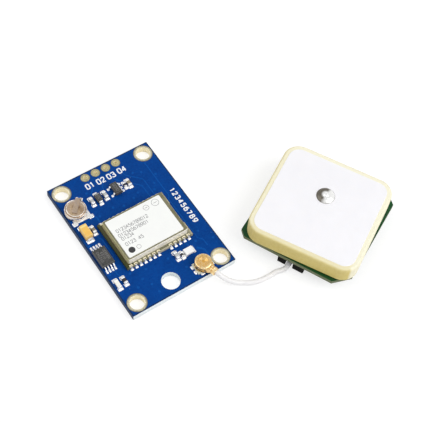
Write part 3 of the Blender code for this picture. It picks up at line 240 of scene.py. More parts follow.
# finishes: colour, second colour, (size, amount) of its patches, (smooth, rough), anything else
looks = {
    "boardMask": ((0.0014, 0.05, 0.265), (0.001, 0.034, 0.19), (3.2, 0.6), (0.26, 0.4), {
        "specular": 0.06, "tint": ((0.002, 0.078, 0.35), 0.5, 0.4),
        "specks": ((0.16, 0.28, 0.52), 0.9, 0.1, 0.07), "weave": (0.55, 0.6)}),
    "maskOverCopper": ((0.002, 0.078, 0.35), (0.0015, 0.06, 0.29), (2.0, 0.5), (0.24, 0.36), {
        "specular": 0.08}),
    # board edge: its stain colour is painted shade on the board's sides
    "boardEdge": ((0.92, 0.965, 0.97), (0.74, 0.82, 0.86), (0.35, 0.6), (0.55, 0.75), {
        "specular": 0.2, "grain": (0.1, 0.012, (0.12, 0.12, 1.8)), "stainAndPaintedLight": (0.004, 0.022, 0.072)}),
    "boardRim": ((0.005, 0.03, 0.105), (0.01, 0.022, 0.055), (0.6, 0.7), (0.4, 0.6), {
        "specular": 0.1}),
    "bareLaminate": ((0.13, 0.115, 0.055), (0.06, 0.055, 0.03), (0.4, 0.6), (0.45, 0.6), {}),
    "padGold": ((0.9, 0.8, 0.52), (0.74, 0.62, 0.36), (0.5, 0.65), (0.24, 0.38), {
        "metal": 0.75, "grain": (0.09, 0.003), "tint": ((0.52, 0.46, 0.28), 0.25, 0.35),
        "stainAndPaintedLight": (0.15, 0.155, 0.1), "wearAndEdgeLight": ((0.97, 0.93, 0.78), 0.4, 0.6)}),
    "headerGold": ((0.36, 0.335, 0.185), (0.22, 0.21, 0.125), (0.45, 0.8), (0.28, 0.44), {
        "metal": 0.5, "tint": ((0.56, 0.5, 0.27), 0.2, 0.4),
        "wearAndEdgeLight": ((0.7, 0.64, 0.38), 0.4, 0.5)}),
    "barrelGold": ((0.95, 0.88, 0.64), (0.86, 0.74, 0.45), (0.6, 0.6), (0.3, 0.45), {"metal": 0.3}),
    # notch brown: painted shade inside the carrier's half-holes and along the can's foot
    "notchBrown": ((0.14, 0.09, 0.04), (0.06, 0.036, 0.016), (0.2, 0.7), (0.35, 0.55), {
        "metal": 0.4}),
    # plug gold: its rubbed-edge colour is also a painted highlight on the cap's rim and the crimp's
    # ridges
    "plugGold": ((0.76, 0.4, 0.075), (0.54, 0.25, 0.045), (0.6, 0.7), (0.2, 0.34), {
        "metal": 0.9, "grain": (0.12, 0.003), "tint": ((0.9, 0.58, 0.18), 0.3, 0.45),
        "wearAndEdgeLight": ((0.98, 0.88, 0.58), 0.35, 0.85)}),
    "solder": ((0.95, 0.95, 0.94), (0.8, 0.81, 0.82), (0.3, 0.5), (0.16, 0.34), {
        "metal": 0.55, "grain": (0.1, 0.01)}),
    # feed solder: its dark stain colour is a painted reflection and painted shade on the dome
    "feedSolder": ((0.95, 0.95, 0.935), (0.78, 0.78, 0.77), (0.4, 0.5), (0.16, 0.3), {
        "metal": 0.6, "grain": (0.14, 0.012), "stainAndPaintedLight": (0.095, 0.08, 0.055)}),
    "tinPlate": ((0.93, 0.93, 0.92), (0.78, 0.78, 0.78), (0.4, 0.5), (0.24, 0.4), {
        "metal": 0.6, "wearAndEdgeLight": ((0.96, 0.96, 0.96), 0.3, 0.5)}),
    # can steel: its stain colour is painted shade on the can's walls
    "canSteel": ((0.985, 0.945, 0.83), (0.88, 0.815, 0.64), (1.6, 0.5), (0.24, 0.38), {
        "metal": 0.05, "grain": (0.05, 0.004, (0.2, 1.0, 1.0)), "stainAndPaintedLight": (0.5, 0.46, 0.15),
        "wearAndEdgeLight": ((0.96, 0.93, 0.8), 0.5, 0.4)}),
    "canShade": ((0.16, 0.148, 0.075), (0.27, 0.25, 0.15), (1.6, 0.8), (0.35, 0.5), {"metal": 0.2}),
    "shieldSteel": ((0.78, 0.77, 0.73), (0.64, 0.63, 0.6), (2.5, 0.5), (0.26, 0.42), {
        "metal": 0.9, "grain": (0.06, 0.004, (1.0, 0.2, 1.0)),
        "tint": ((0.56, 0.52, 0.44), 1.1, 0.3), "wearAndEdgeLight": ((0.92, 0.91, 0.88), 0.5, 0.6)}),
    # label paper: its dark rubbed-edge colour is painted shadow along the label's edges
    "labelPaper": ((0.94, 0.95, 0.925), (0.89, 0.9, 0.89), (2.2, 0.4), (0.5, 0.62), {
        "grain": (0.06, 0.004), "wearAndEdgeLight": ((0.42, 0.37, 0.3), 0.5, 0.8)}),
    "labelInk": ((0.13, 0.13, 0.14), (0.3, 0.3, 0.31), (0.25, 0.7), (0.5, 0.7), {}),
    "labelDot": ((0.018, 0.018, 0.02), (0.045, 0.045, 0.05), (0.3, 0.6), (0.45, 0.6), {}),
    # module mask: a dark olive lacquer kept dark as painted shade; its pale stain colour is painted
    # light on the carrier's lit sides
    "moduleMask": ((0.026, 0.034, 0.008), (0.01, 0.03, 0.006), (0.8, 0.7), (0.35, 0.5), {
        "specular": 0.1, "tint": ((0.12, 0.11, 0.025), 0.3, 0.45), "stainAndPaintedLight": (0.56, 0.52, 0.37),
        "weave": (0.45, 0.5)}),
    "moulding": ((0.04, 0.04, 0.039), (0.098, 0.086, 0.1), (0.5, 0.8), (0.42, 0.6), {
        "specular": 0.3, "grain": (0.05, 0.01), "tint": ((0.036, 0.05, 0.03), 0.3, 0.6),
        "specks": ((0.2, 0.19, 0.2), 0.2, 0.25, 0.14), "wearAndEdgeLight": ((0.22, 0.205, 0.2), 0.3, 0.7)}),
    "laserMark": ((0.3, 0.29, 0.285), (0.16, 0.155, 0.15), (0.25, 0.7), (0.55, 0.75), {}),
    "resistorTop": ((0.03, 0.028, 0.032), (0.06, 0.05, 0.058), (0.4, 0.6), (0.28, 0.42), {
        "specular": 0.3, "wearAndEdgeLight": ((0.18, 0.17, 0.17), 0.3, 0.5)}),
    "capacitorTan": ((0.3, 0.255, 0.175), (0.17, 0.14, 0.09), (0.35, 0.7), (0.34, 0.5), {
        "wearAndEdgeLight": ((0.6, 0.54, 0.42), 0.3, 0.5)}),
    "capacitorPale": ((0.52, 0.53, 0.52), (0.38, 0.39, 0.38), (0.35, 0.7), (0.34, 0.5), {
        "wearAndEdgeLight": ((0.75, 0.75, 0.73), 0.3, 0.5)}),
    "coilWhite": ((0.94, 0.945, 0.95), (0.86, 0.865, 0.88), (0.7, 0.5), (0.34, 0.5), {
        "wearAndEdgeLight": ((0.96, 0.96, 0.96), 0.3, 0.4)}),
    "tantalumOrange": ((0.9, 0.54, 0.1), (0.84, 0.44, 0.09), (0.9, 0.6), (0.34, 0.5), {
        "grain": (0.06, 0.006), "tint": ((0.93, 0.64, 0.19), 0.4, 0.5),
        "wearAndEdgeLight": ((0.95, 0.78, 0.43), 0.3, 0.8)}),
    "tantalumBand": ((0.93, 0.74, 0.3), (0.88, 0.64, 0.22), (0.5, 0.5), (0.36, 0.52), {}),
    "cellSteel": ((0.5, 0.37, 0.23), (0.38, 0.3, 0.28), (1.2, 0.8), (0.22, 0.4), {
        "metal": 0.9, "grain": (0.05, 0.004), "tint": ((0.64, 0.48, 0.32), 0.35, 0.6),
        "stainAndPaintedLight": (0.2, 0.11, 0.055), "wearAndEdgeLight": ((0.95, 0.94, 0.92), 0.5, 0.95)}),
    "tabNickel": ((0.46, 0.35, 0.24), (0.35, 0.29, 0.31), (0.7, 0.8), (0.26, 0.42), {
        "metal": 0.9, "tint": ((0.6, 0.46, 0.31), 0.25, 0.5),
        "wearAndEdgeLight": ((0.76, 0.71, 0.64), 0.3, 0.5)}),
    "lightLens": ((0.93, 0.92, 0.85), (0.9, 0.87, 0.72), (0.6, 0.5), (0.16, 0.26), {}),
    "socketPlastic": ((0.7, 0.735, 0.61), (0.54, 0.59, 0.45), (0.5, 0.6), (0.45, 0.6), {
        "wearAndEdgeLight": ((0.86, 0.87, 0.8), 0.3, 0.6)}),
    "leadJacket": ((0.9, 0.89, 0.895), (0.83, 0.82, 0.835), (1.4, 0.6), (0.34, 0.46), {
        "grain": (0.2, 0.006)}),
    # clip foam: flat black that is painted shade under the antenna board's front edge
    "clipFoam": ((0.007, 0.007, 0.006), (0.014, 0.013, 0.012), (0.35, 0.7), (0.8, 0.95), {
        "specular": 0.1, "grain": (0.12, 0.03),
        "specks": ((0.003, 0.003, 0.003), 0.22, 0.55, 0.25)}),
    # antenna ceramic: its pale stain colour is painted light on the top and the lit sides
    "antennaCeramic": ((0.69, 0.56, 0.165), (0.62, 0.49, 0.14), (2.6, 0.5), (0.44, 0.58), {
        "specular": 0.3, "grain": (0.07, 0.01), "tint": ((0.76, 0.64, 0.26), 0.5, 0.45),
        "stainAndPaintedLight": (0.93, 0.9, 0.71), "specks": ((0.48, 0.37, 0.13), 0.7, 0.12, 0.05)}),
    "firedSilver": ((0.935, 0.93, 0.962), (0.89, 0.888, 0.925), (5.0, 0.5), (0.42, 0.56), {
        "metal": 0.3, "grain": (0.14, 0.006), "tint": ((0.945, 0.925, 0.93), 1.6, 0.35)}),
    "tapeBlack": ((0.022, 0.024, 0.008), (0.045, 0.04, 0.018), (0.8, 0.6), (0.6, 0.8), {
        "specular": 0.2, "grain": (0.1, 0.015, (1.0, 1.0, 0.4))}),
    # antenna mask: a dark green lacquer, darkened further as painted shade from the ceramic block
    # beside it
    "antennaMask": ((0.006, 0.064, 0.014), (0.004, 0.04, 0.01), (2.2, 0.6), (0.28, 0.42), {
        "specular": 0.2, "tint": ((0.016, 0.105, 0.03), 0.5, 0.35), "weave": (0.55, 0.6)}),
    "antennaEdge": ((0.18, 0.2, 0.11), (0.08, 0.11, 0.05), (0.5, 0.7), (0.5, 0.7), {
        "specular": 0.2, "grain": (0.1, 0.012, (0.12, 0.12, 1.8))}),
    "silkWhite": ((0.93, 0.94, 0.95), (0.82, 0.84, 0.87), (0.4, 0.5), (0.5, 0.65), {}),
}
finishes = {name: finish(name, *look[:4], **look[4]) for name, look in looks.items()}
print("finishes made:", len(finishes))


# shapes: each is (points in millimetres, faces, share of edge wear and painted edge light at each
# point)
def skin(rings, closed=False, edge=None):
    # quads between neighbouring rings of points; an open row of rings gets a flat face at each end
    rings = np.asarray(rings, float)
    count, points = rings.shape[:2]
    start = np.arange(count if closed else count - 1)[:, None] * points
    after = (start + points) % (count * points)
    step = np.arange(points)[None, :]
    beside = (step + 1) % points
    faces = np.stack([start + step, start + beside, after + beside, after + step], -1)
    faces = faces.reshape(-1, 4).tolist()
    if not closed:
        faces += [list(range(points))[::-1], list(range((count - 1) * points, count * points))]
    wearAndEdgeLight = np.repeat(np.zeros(count) if edge is None else edge, points)
    return rings.reshape(-1, 3), faces, wearAndEdgeLight


def rectRings(x, y, width, depth, corner, z, steps):
    # rounded rectangles round their middles, with a quarter circle in each corner
    turn = (np.arange(4)[:, None] + np.linspace(0, 1, steps + 1)).ravel() * math.pi / 2
    signX = np.repeat([1, -1, -1, 1], steps + 1)
    signY = np.repeat([1, 1, -1, -1], steps + 1)
    given = (x, y, width, depth, corner, z)
    x, y, width, depth, corner, z = [np.atleast_1d(value)[:, None] for value in given]
    alongX = x + signX * (width / 2 - corner) + corner * np.cos(turn)
    alongY = y + signY * (depth / 2 - corner) + corner * np.sin(turn)
    return np.stack(np.broadcast_arrays(alongX, alongY, z + 0 * turn), -1)


def slab(low, high, foot, top, steps=4, draft=0.0):
    # profile of (inset, height): foot rounding, side drawn in by the draft, top rounding; its edge
    # share
    rest = 0.03  # width of the flat ring inside each rounding
    quarter = np.linspace(0, math.pi / 2, steps + 1)
    lower = np.stack([foot * (1 - np.sin(quarter)), low + foot * (1 - np.cos(quarter))], 1)
    upper = np.stack([draft + top * (1 - np.cos(quarter)), high - top * (1 - np.sin(quarter))], 1)
    profile = np.vstack([[foot + rest, low], lower, upper, [draft + top + rest, high]])
    edgeShare = np.concatenate([[0], 0.5 * np.sin(2 * quarter), np.sin(quarter * 2), [0]])
    return profile, edgeShare


def loft(width, depth, corner, profile, steps=6):
    # a rounded rectangle carried up the profile; its corners tighten as it draws in
    (inset, height), edgeShare = profile[0].T, profile[1]
    radius = np.maximum(corner - inset, 0.01)
    rings = rectRings(0, 0, width - 2 * inset, depth - 2 * inset, radius, height, steps)
    return skin(rings, edge=edgeShare)


def turned(profile, steps=48, closed=False, edge=None):
    # a profile of (radius, height) turned about Z
    radius, height = np.asarray(profile, float).T[:, :, None]
    angle = np.linspace(0, 2 * math.pi, steps, endpoint=False)
    rings = np.broadcast_arrays(radius * np.cos(angle), radius * np.sin(angle), height + 0 * angle)
    return skin(np.stack(rings, -1), closed, edge)


def rounded(points, radius, steps=5):
    # a path whose corners are replaced by parabolas that start and end a radius from them
    points = np.asarray(points, float)
    before, corner, after = points[:-2], points[1:-1], points[2:]

    def toward(goal):
        way = goal - corner
        length = np.linalg.norm(way, axis=1, keepdims=True)
        return corner + way / length * np.minimum(radius, length / 2.2)

    first, last = toward(before), toward(after)
    t = np.linspace(0, 1, steps)[:, None, None]
    bends = (1 - t) ** 2 * first + 2 * t * (1 - t) * corner + t**2 * last
    bends = bends.transpose(1, 0, 2).reshape(-1, points.shape[1])
    return np.vstack([points[:1], bends, points[-1:]])


def strip(path, width, thickness, corner=0.03):
    # a flat bar: a small rounded rectangle carried along a path of (along, height)
    path = np.asarray(path, float)
    way = np.gradient(path, axis=0)
    way /= np.linalg.norm(way, axis=1, keepdims=True)
    section = rectRings(0, 0, width, thickness, corner, 0, 2)[0]
    along = path[:, None, 0] - way[:, None, 1] * section[None, :, 1]
    height = path[:, None, 1] + way[:, None, 0] * section[None, :, 1]
    across = np.broadcast_to(section[None, :, 0], along.shape)
    return skin(np.stack([along, across, height], -1))


def line(path, width, low, high, closed=False):
    # a painted or etched line: its path moved sideways along the mitre, with slanted flanks
    path = np.asarray(path, float)
    before = np.roll(path, 1, 0)
    after = np.roll(path, -1, 0)
    if not closed:
        before[0] = 2 * path[0] - path[1]
        after[-1] = 2 * path[-1] - path[-2]
    into = (path - before) / np.linalg.norm(path - before, axis=1, keepdims=True)
    out = (after - path) / np.linalg.norm(after - path, axis=1, keepdims=True)
    sideIn = np.stack([-into[:, 1], into[:, 0]], 1)
    sideOut = np.stack([-out[:, 1], out[:, 0]], 1)
    mitre = (sideIn + sideOut) / (1 + np.sum(sideIn * sideOut, 1, keepdims=True))
    shift = np.array([-width / 2, width / 2, width / 2 - (high - low), (high - low) - width / 2])
    height = np.array([low, low, high, high])
    flat = path[:, None, :] + mitre[:, None, :] * shift[None, :, None]
    return skin(np.dstack([flat, np.broadcast_to(height, flat.shape[:2])]), closed)


def fillet(outer, inner, low, high, steps=7, corner=0.12):
    # solder between two rectangles (x, y, width, depth): it climbs as the 2.4th power of the way in
    s = np.linspace(0, 1, steps)
    outer, inner = np.asarray(outer, float), np.asarray(inner, float)
    x, y, width, depth = (outer[:, None] + (inner - outer)[:, None] * s)
    z = low + (high - low) * s**2.4
    radius = np.minimum(corner, np.minimum(width, depth) / 2.05)
    return skin(rectRings(x, y, width, depth, radius, z, 4))


def evaluated(thing):
    # the mesh that an object's curve or modifiers give
    bpy.context.view_layer.update()
    depsgraph = bpy.context.evaluated_depsgraph_get()
    return bpy.data.meshes.new_from_object(thing.evaluated_get(depsgraph))


def plate(outlines, low, high, bevel):
    # a flat sheet with holes: the first outline is its edge, the others are its holes
    curve = bpy.data.curves.new("plate", "CURVE")
    curve.dimensions = "2D"
    curve.fill_mode = "BOTH"
    curve.extrude = (high - low) / 2 - bevel
    curve.bevel_depth = bevel
    curve.bevel_resolution = 2
    curve.offset = -bevel
    for outline in outlines:
        spline = curve.splines.new("POLY")
        spline.points.add(len(outline) - 1)
        flat = np.hstack([outline, np.tile((0, 1), (len(outline), 1))])
        spline.points.foreach_set("co", flat.ravel())
        spline.use_cyclic_u = True
    guide = placed("guide", curve)
    mesh = evaluated(guide)
    points = np.zeros(len(mesh.vertices) * 3)
    mesh.vertices.foreach_get("co", points)
    shape = points.reshape(-1, 3), [list(face.vertices) for face in mesh.polygons], 0 * points[::3]
    bpy.data.objects.remove(guide, do_unlink=True)
    bpy.data.meshes.remove(mesh)
    return move(shape, z=(low + high) / 2)


def joined(shapes):
    # several shapes as one: each one's faces count on from the points before it
    points, faces, edgeShare = zip(*shapes)
    starts = np.cumsum([0] + [len(part) for part in points[:-1]]).tolist()
    counted = [[start + i for i in face] for part, start in zip(faces, starts) for face in part]
    return np.concatenate(points), counted, np.concatenate(edgeShare)


# the strokes of each figure in a cell 0.6 wide and 1 high; a loop ends where it starts
figures = {
    "0": [[(0.3, 1.0), (0.06, 1.0), (0.0, 0.76), (0.0, 0.24), (0.06, 0.0),
           (0.54, 0.0), (0.6, 0.24), (0.6, 0.76), (0.54, 1.0), (0.3, 1.0)]],
    "1": [[(0.34, 0.0), (0.34, 1.0)], [(0.36, 1.0), (0.12, 0.8)]],
    "2": [[(0.02, 0.76), (0.1, 1.0), (0.56, 1.0), (0.6, 0.62), (0.0, 0.02)],
          [(-0.02, 0.0), (0.62, 0.0)]],
    "3": [[(0.02, 0.86), (0.1, 1.0), (0.56, 1.0), (0.58, 0.54), (0.22, 0.53)],
          [(0.22, 0.53), (0.6, 0.52), (0.62, 0.0), (0.08, 0.0), (0.0, 0.16)]],
    "4": [[(0.46, 0.0), (0.46, 1.0)], [(0.44, 0.98), (0.0, 0.3)], [(-0.04, 0.28), (0.62, 0.28)]],
    "5": [[(0.56, 1.0), (0.08, 1.0), (0.05, 0.56), (0.58, 0.64),
           (0.62, 0.0), (0.08, 0.0), (0.0, 0.16)]],
    "6": [[(0.52, 1.0), (0.04, 0.8), (0.0, 0.0), (0.3, 0.0)],
          [(0.3, 0.0), (0.6, 0.0), (0.62, 0.6), (0.02, 0.58)]],
    "7": [[(0.0, 1.0), (0.64, 1.0)], [(0.6, 0.98), (0.2, 0.0)]],
    "8": [[(0.3, 1.0), (0.06, 1.0), (0.04, 0.54), (0.56, 0.54), (0.54, 1.0), (0.3, 1.0)],
          [(0.3, 0.54), (0.0, 0.54), (0.0, 0.0), (0.6, 0.0), (0.6, 0.54), (0.3, 0.54)]],
    "9": [[(0.08, 0.0), (0.56, 0.2), (0.6, 1.0), (0.3, 1.0)],
          [(0.3, 1.0), (0.0, 1.0), (-0.02, 0.4), (0.58, 0.42)]],
    " ": [],
}


def digits(word, height, x, y, z, turn=0.0, weight=0.1):
    # plain numbers as raised strokes round the place; each stroke is a hair above the last
    advance, ink, hair = 0.86, 0.006, 0.0004
    shapes = []
    for number, figure in enumerate(word):
        for stroke in figures[figure]:
            path = np.array(stroke) + (advance * number - advance / 2 * len(word) + 0.13, -0.5)
            path = rounded(path * height, 0.2 * height, 5)
            closed = stroke[0] == stroke[-1]
            high = ink + hair * len(shapes)
            shapes.append(line(path[:-1] if closed else path, weight, -ink, high, closed))
    return move(joined(shapes), x, y, z, turn)


def circle(x, y, radius, steps=64):
    # the middle plus the radius times cosine and sine of even angles
    angle = np.linspace(0, 2 * math.pi, steps, endpoint=False)
    return np.stack([x + radius * np.cos(angle), y + radius * np.sin(angle)], 1)


def move(shape, x=0.0, y=0.0, z=0.0, turn=0.0):
    # turned about Z with the cosine and sine of the angle, then shifted
    cos, sin = math.cos(turn), math.sin(turn)
    turnAbout = np.array([[cos, -sin, 0.0], [sin, cos, 0.0], [0.0, 0.0, 1.0]])
    return shape[0] @ turnAbout.T + (x, y, z), shape[1], shape[2]


def ramp(value, start, width):
    # climbs evenly from 0 at the start to 1 a width further on
    return np.clip((value - start) / width, 0, 1)


def sideStain(points, middle, size, shares):
    # a share of painted light and shade for each side (left, back, right, front), mixed by the
    # exponential of nearness to it
    blend = 25  # per millimetre: how fast one side's share gives way to its neighbour's
    x, y = points[:, 0] - middle[0], points[:, 1] - middle[1]
    beyond = np.array([-x - size[0] / 2, y - size[1] / 2, x - size[0] / 2, -y - size[1] / 2])
    near = np.exp(blend * (beyond - beyond.max(0)))
    return np.array(shares) @ near / near.sum(0)


def addPiece(name, parts, replaces=(), stainAndPaintedLight=None):
    # one object from several shapes, each with its finish; its place is in its mesh
    shapes, finishNames = zip(*parts)
    points, faces, edgeShare = joined(shapes)
    mesh = bpy.data.meshes.new(name)
    mesh.from_pydata((points * mm).tolist(), [], faces)
    used = list(dict.fromkeys(finishNames))
    for look in used:
        mesh.materials.append(finishes[look])
    counts = [len(shape[1]) for shape in shapes]
    index = np.repeat([used.index(look) for look in finishNames], counts)
    mesh.polygons.foreach_set("material_index", index.astype(np.int32))
    # the stain attribute is real staining for some pieces and painted light and shade for others
    marks = {"edge": edgeShare} if stainAndPaintedLight is None else {"edge": edgeShare, "stainAndPaintedLight": stainAndPaintedLight(points)}
    for label, values in marks.items():
        attribute = mesh.attributes.new(label, "FLOAT", "POINT")
        attribute.data.foreach_set("value", values.astype(np.float32))
    bm = bmesh.new()
    bm.from_mesh(mesh)
    bmesh.ops.remove_doubles(bm, verts=bm.verts, dist=1e-7)
    bmesh.ops.recalc_face_normals(bm, faces=bm.faces)
    bm.to_mesh(mesh)
    bm.free()
    mesh.shade_smooth()
    mesh.set_sharp_from_angle(angle=sharpFrom)
    piece = placed(name, mesh)
    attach(piece, "root")
    if replaces:
        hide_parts(*replaces)
    return piece


def dressed(shapes, finishName):
    # the same finish for every shape
    return [(shape, finishName) for shape in shapes]


def cut(piece, shape):
    # takes a shape away from a finished piece
    mesh = bpy.data.meshes.new("cutter")
    mesh.from_pydata((shape[0] * mm).tolist(), [], shape[1])
    cutter = placed("cutter", mesh)
    difference = piece.modifiers.new("cut", "BOOLEAN")
    difference.solver = "EXACT"
    difference.object = cutter
    made = evaluated(piece)
    piece.modifiers.clear()
    piece.data = made
    made.name = piece.name
    bpy.data.objects.remove(cutter, do_unlink=True)


makeCamera(photoCamera)
print("camera made")

# lead
antennaLead = {
    "diameter": 0.00113,
    "length": 0.0371,
    "route": [
        (0.00674, -0.01803, 0.00283), (0.00691, -0.01857, 0.00283), (0.00711, -0.01918, 0.00278),
        (0.00756, -0.01992, 0.0024), (0.00856, -0.021, 0.00168), (0.00972, -0.02181, 0.00108),
        (0.0107, -0.02227, 0.00076), (0.01244, -0.02328, 0.0006), (0.01479, -0.02391, 0.0006),
        (0.01687, -0.02404, 0.0006), (0.01835, -0.02398, 0.0006), (0.02025, -0.02434, 0.0006),
        (0.02109, -0.02411, 0.00062), (0.02184, -0.02382, 0.00066), (0.02258, -0.02351, 0.00072),
        (0.02345, -0.02335, 0.0008), (0.0245, -0.02366, 0.00092), (0.02542, -0.0246, 0.00105),
        (0.02632, -0.02616, 0.00125), (0.02726, -0.02793, 0.00145), (0.02843, -0.02958, 0.00165),
        (0.02999, -0.03047, 0.0018), (0.03176, -0.03042, 0.0019), (0.0331, -0.02941, 0.00195),
        (0.03343, -0.02796, 0.00195), (0.03312, -0.02689, 0.00195), (0.03267, -0.02599, 0.00195),
    ],
}


def buildLead(look):
    # a round tube along a Bezier curve with smooth handles at every knot
    curve = bpy.data.curves.new("antennaLead", "CURVE")
    curve.dimensions = "3D"
    curve.bevel_depth = look["diameter"] / 2
    curve.bevel_resolution = 6
    curve.resolution_u = 8
    curve.use_fill_caps = True
    spline = curve.splines.new("BEZIER")
    spline.bezier_points.add(len(look["route"]) - 1)
    spline.bezier_points.foreach_set("co", np.array(look["route"]).ravel())
    for knot in spline.bezier_points:
        knot.handle_left_type = knot.handle_right_type = "AUTO"
    curve.materials.append(finishes["leadJacket"])
    lead = placed("antennaLead", curve)
    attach(lead, "root")
    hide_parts("antenna_cable")
    return lead


lead = buildLead(antennaLead)
print("lead laid")

# studio
studio = {
    "ambient": 0.54,
    "glossTop": 0.78,
    "floorSize": 4.0,
    "floorDrop": 0.00003,
    "floorLit": (0.86, 0.86, 0.86, 1.0),
    "floorSeen": (0.42, 0.42, 0.42, 1.0),
    "floorLift": 0.66,
    "lamps": [
        {"name": "keyBox", "place": (0.3, -0.42, 0.52), "size": 0.55, "power": 2.8},
        {"name": "backBox", "place": (-0.35, 0.3, 0.6), "size": 0.6, "power": 1.4},
    ],
}


def seenDirectly(tree):
    # 1 for rays from the camera, a mirror or clear plastic; then 1 for the camera's rays alone
    rays = node(tree, "ShaderNodeLightPath").outputs
    seen = maths(tree, "MAXIMUM", rays["Is Camera Ray"], rays["Is Glossy Ray"])
    return maths(tree, "MAXIMUM", seen, rays["Is Transmission Ray"]), rays["Is Camera Ray"]


def makeWorld(look):
    world = bpy.data.worlds.new("studio")
    world.use_nodes = True
    tree = world.node_tree
    tree.nodes.clear()
    seen, byCamera = seenDirectly(tree)
    direction = node(tree, "ShaderNodeTexCoord").outputs["Generated"]
    up = node(tree, "ShaderNodeSeparateXYZ", {0: direction}).outputs[2]
    mirrored = spread(tree, up, 0.1, 0.9, 1.0, look["glossTop"])
    shown = maths(tree, "MAXIMUM", mirrored, byCamera)
    inputs = {0: seen, 2: look["ambient"], 3: shown}
    strength = node(tree, "ShaderNodeMix", inputs, data_type="FLOAT").outputs[0]
    sky = node(tree, "ShaderNodeBackground", {"Color": white, "Strength": strength})
    node(tree, "ShaderNodeOutputWorld", {"Surface": sky.outputs[0]})
    bpy.context.scene.world = world


def makeFloor(look):
    half, low = look["floorSize"] / 2, -look["floorDrop"]
    mesh = bpy.data.meshes.new("floor")
    corners = [(-half, -half, low), (half, -half, low), (half, half, low), (-half, half, low)]
    mesh.from_pydata(corners, [], [[0, 1, 2, 3]])
    material = bpy.data.materials.new("floorPaper")
    material.use_nodes = True
    tree = material.node_tree
    tree.nodes.clear()
    seen, byCamera = seenDirectly(tree)
    color = mixColor(tree, seen, look["floorLit"], look["floorSeen"])
    paper = node(tree, "ShaderNodeBsdfDiffuse", {"Color": color}).outputs[0]
    lift = maths(tree, "MULTIPLY", seen, look["floorLift"])
    glow = node(tree, "ShaderNodeEmission", {"Color": white, "Strength": lift}).outputs[0]
    both = node(tree, "ShaderNodeAddShader", {0: paper, 1: glow}).outputs[0]
    node(tree, "ShaderNodeOutputMaterial", {"Surface": both})
    mesh.materials.append(material)
    floor = placed("floor", mesh)


def makeLamps(lamps):
    for lamp in lamps:
        data = bpy.data.lights.new(lamp["name"], "AREA")
        data.shape = "SQUARE"
        data.size = lamp["size"]
        data.energy = lamp["power"]
        box = placed(lamp["name"], data)
        box.location = lamp["place"]
        box.rotation_euler = (-Vector(lamp["place"])).to_track_quat("-Z", "Y").to_euler()


makeWorld(studio)
makeFloor(studio)
makeLamps(studio["lamps"])
bpy.context.scene.view_settings.view_transform = "Standard"
print("studio set")

# main board
mainBoard = {
    "size": (25.0, 35.0),
    "corner": 0.15,
    "bevel": 0.03,
    "screwHoles": [(-10.2, 15.2), (10.2, 15.2), (10.2, -15.2), (-10.2, -15.2)],
    "screwRadius": 1.55,
    "screwPad": 2.05,
    "headerHoles": [(-3.81, 16.2), (-1.27, 16.2), (1.27, 16.2), (3.81, 16.2)],
    "headerRadius": 0.5,
    "headerPad": 0.95,
    "plainHole": (-1.7, -14.6, 2.0),
    "barrel": 0.1,
    "lip": 0.04,
    "padHeight": 0.03,
    "maskGap": 0.09,
    "rimLine": (0.15, 0.24),
    "sideShade": (1.0, 0.45, 0.3, 0.03),
    "shadeFade": 0.06,
    "dulling": 0.6,
}


def sleeve(hole, pad, barrel, lip, height):
    # a plated hole with a pad on each face of the board: its upper half and the same mirrored
    top = boardTop + height
    half = np.array([
        (hole, top - lip), (hole + 0.3 * lip, top - 0.3 * lip), (hole + lip, top),
        (pad - 0.02, top), (pad, top - 0.012), (pad, boardTop), (hole + barrel, boardTop - 0.002),
    ])
    profile = np.vstack([half, half[::-1] * (1, -1) + (0, top)])
    edge = np.array([0.6, 1, 1, 0.4, 0, 0, 0, 0, 0, 0, 0, 1, 1, 0.6])
    return turned(profile, 72, closed=True, edge=edge)


def ringBand(inner, outer, low, high, steps=72):
    # a flat ring: a rectangle turned about Z
    return turned([(inner, low), (outer, low), (outer, high), (inner, high)], steps, closed=True)


def splitFaces(shape, test):
    # two shapes from one: the faces whose points all pass the test, and the rest
    points, faces, edge = shape
    passed = test(points)
    halves = [[], []]
    for face in faces:
        halves[not passed[face].all()].append(face)
    return [(points, half, edge) for half in halves]


def boardParts(shape, low, high, bevel, mask, rim):
    # a bare board: lacquer on both faces and their rounded edges, laminate on sides and in holes
    top, rest = splitFaces(shape, lambda points: points[:, 2] > high - bevel - 0.001)
    bottom, side = splitFaces(rest, lambda points: points[:, 2] < low + bevel + 0.001)
    return [(top, mask), (bottom, mask), (side, rim)]


def faded(share, way, fade):
    # a share that falls by the fade from the top (way 1) to the foot (way 0)
    return share * (1 - fade + fade * way)


def boardStain(points):
    # shade on the board's sides: deepest on the left, and deeper at the top than at the bottom
    share = sideStain(points, (0, 0), mainBoard["size"], mainBoard["sideShade"])
    return faded(share, ramp(points[:, 2], 0, boardTop), mainBoard["shadeFade"])


def ringStain(x, y):
    # a screw pad dulls from its hole to its rim with a power of the way across; header pads are
    # smaller than that hole and stay clean
    inner, outer = mainBoard["screwRadius"], mainBoard["screwPad"]

    def share(points):
        away = np.hypot(points[:, 0] - x, points[:, 1] - y)
        return ramp(away, inner, outer - inner) ** mainBoard["dulling"]

    return share


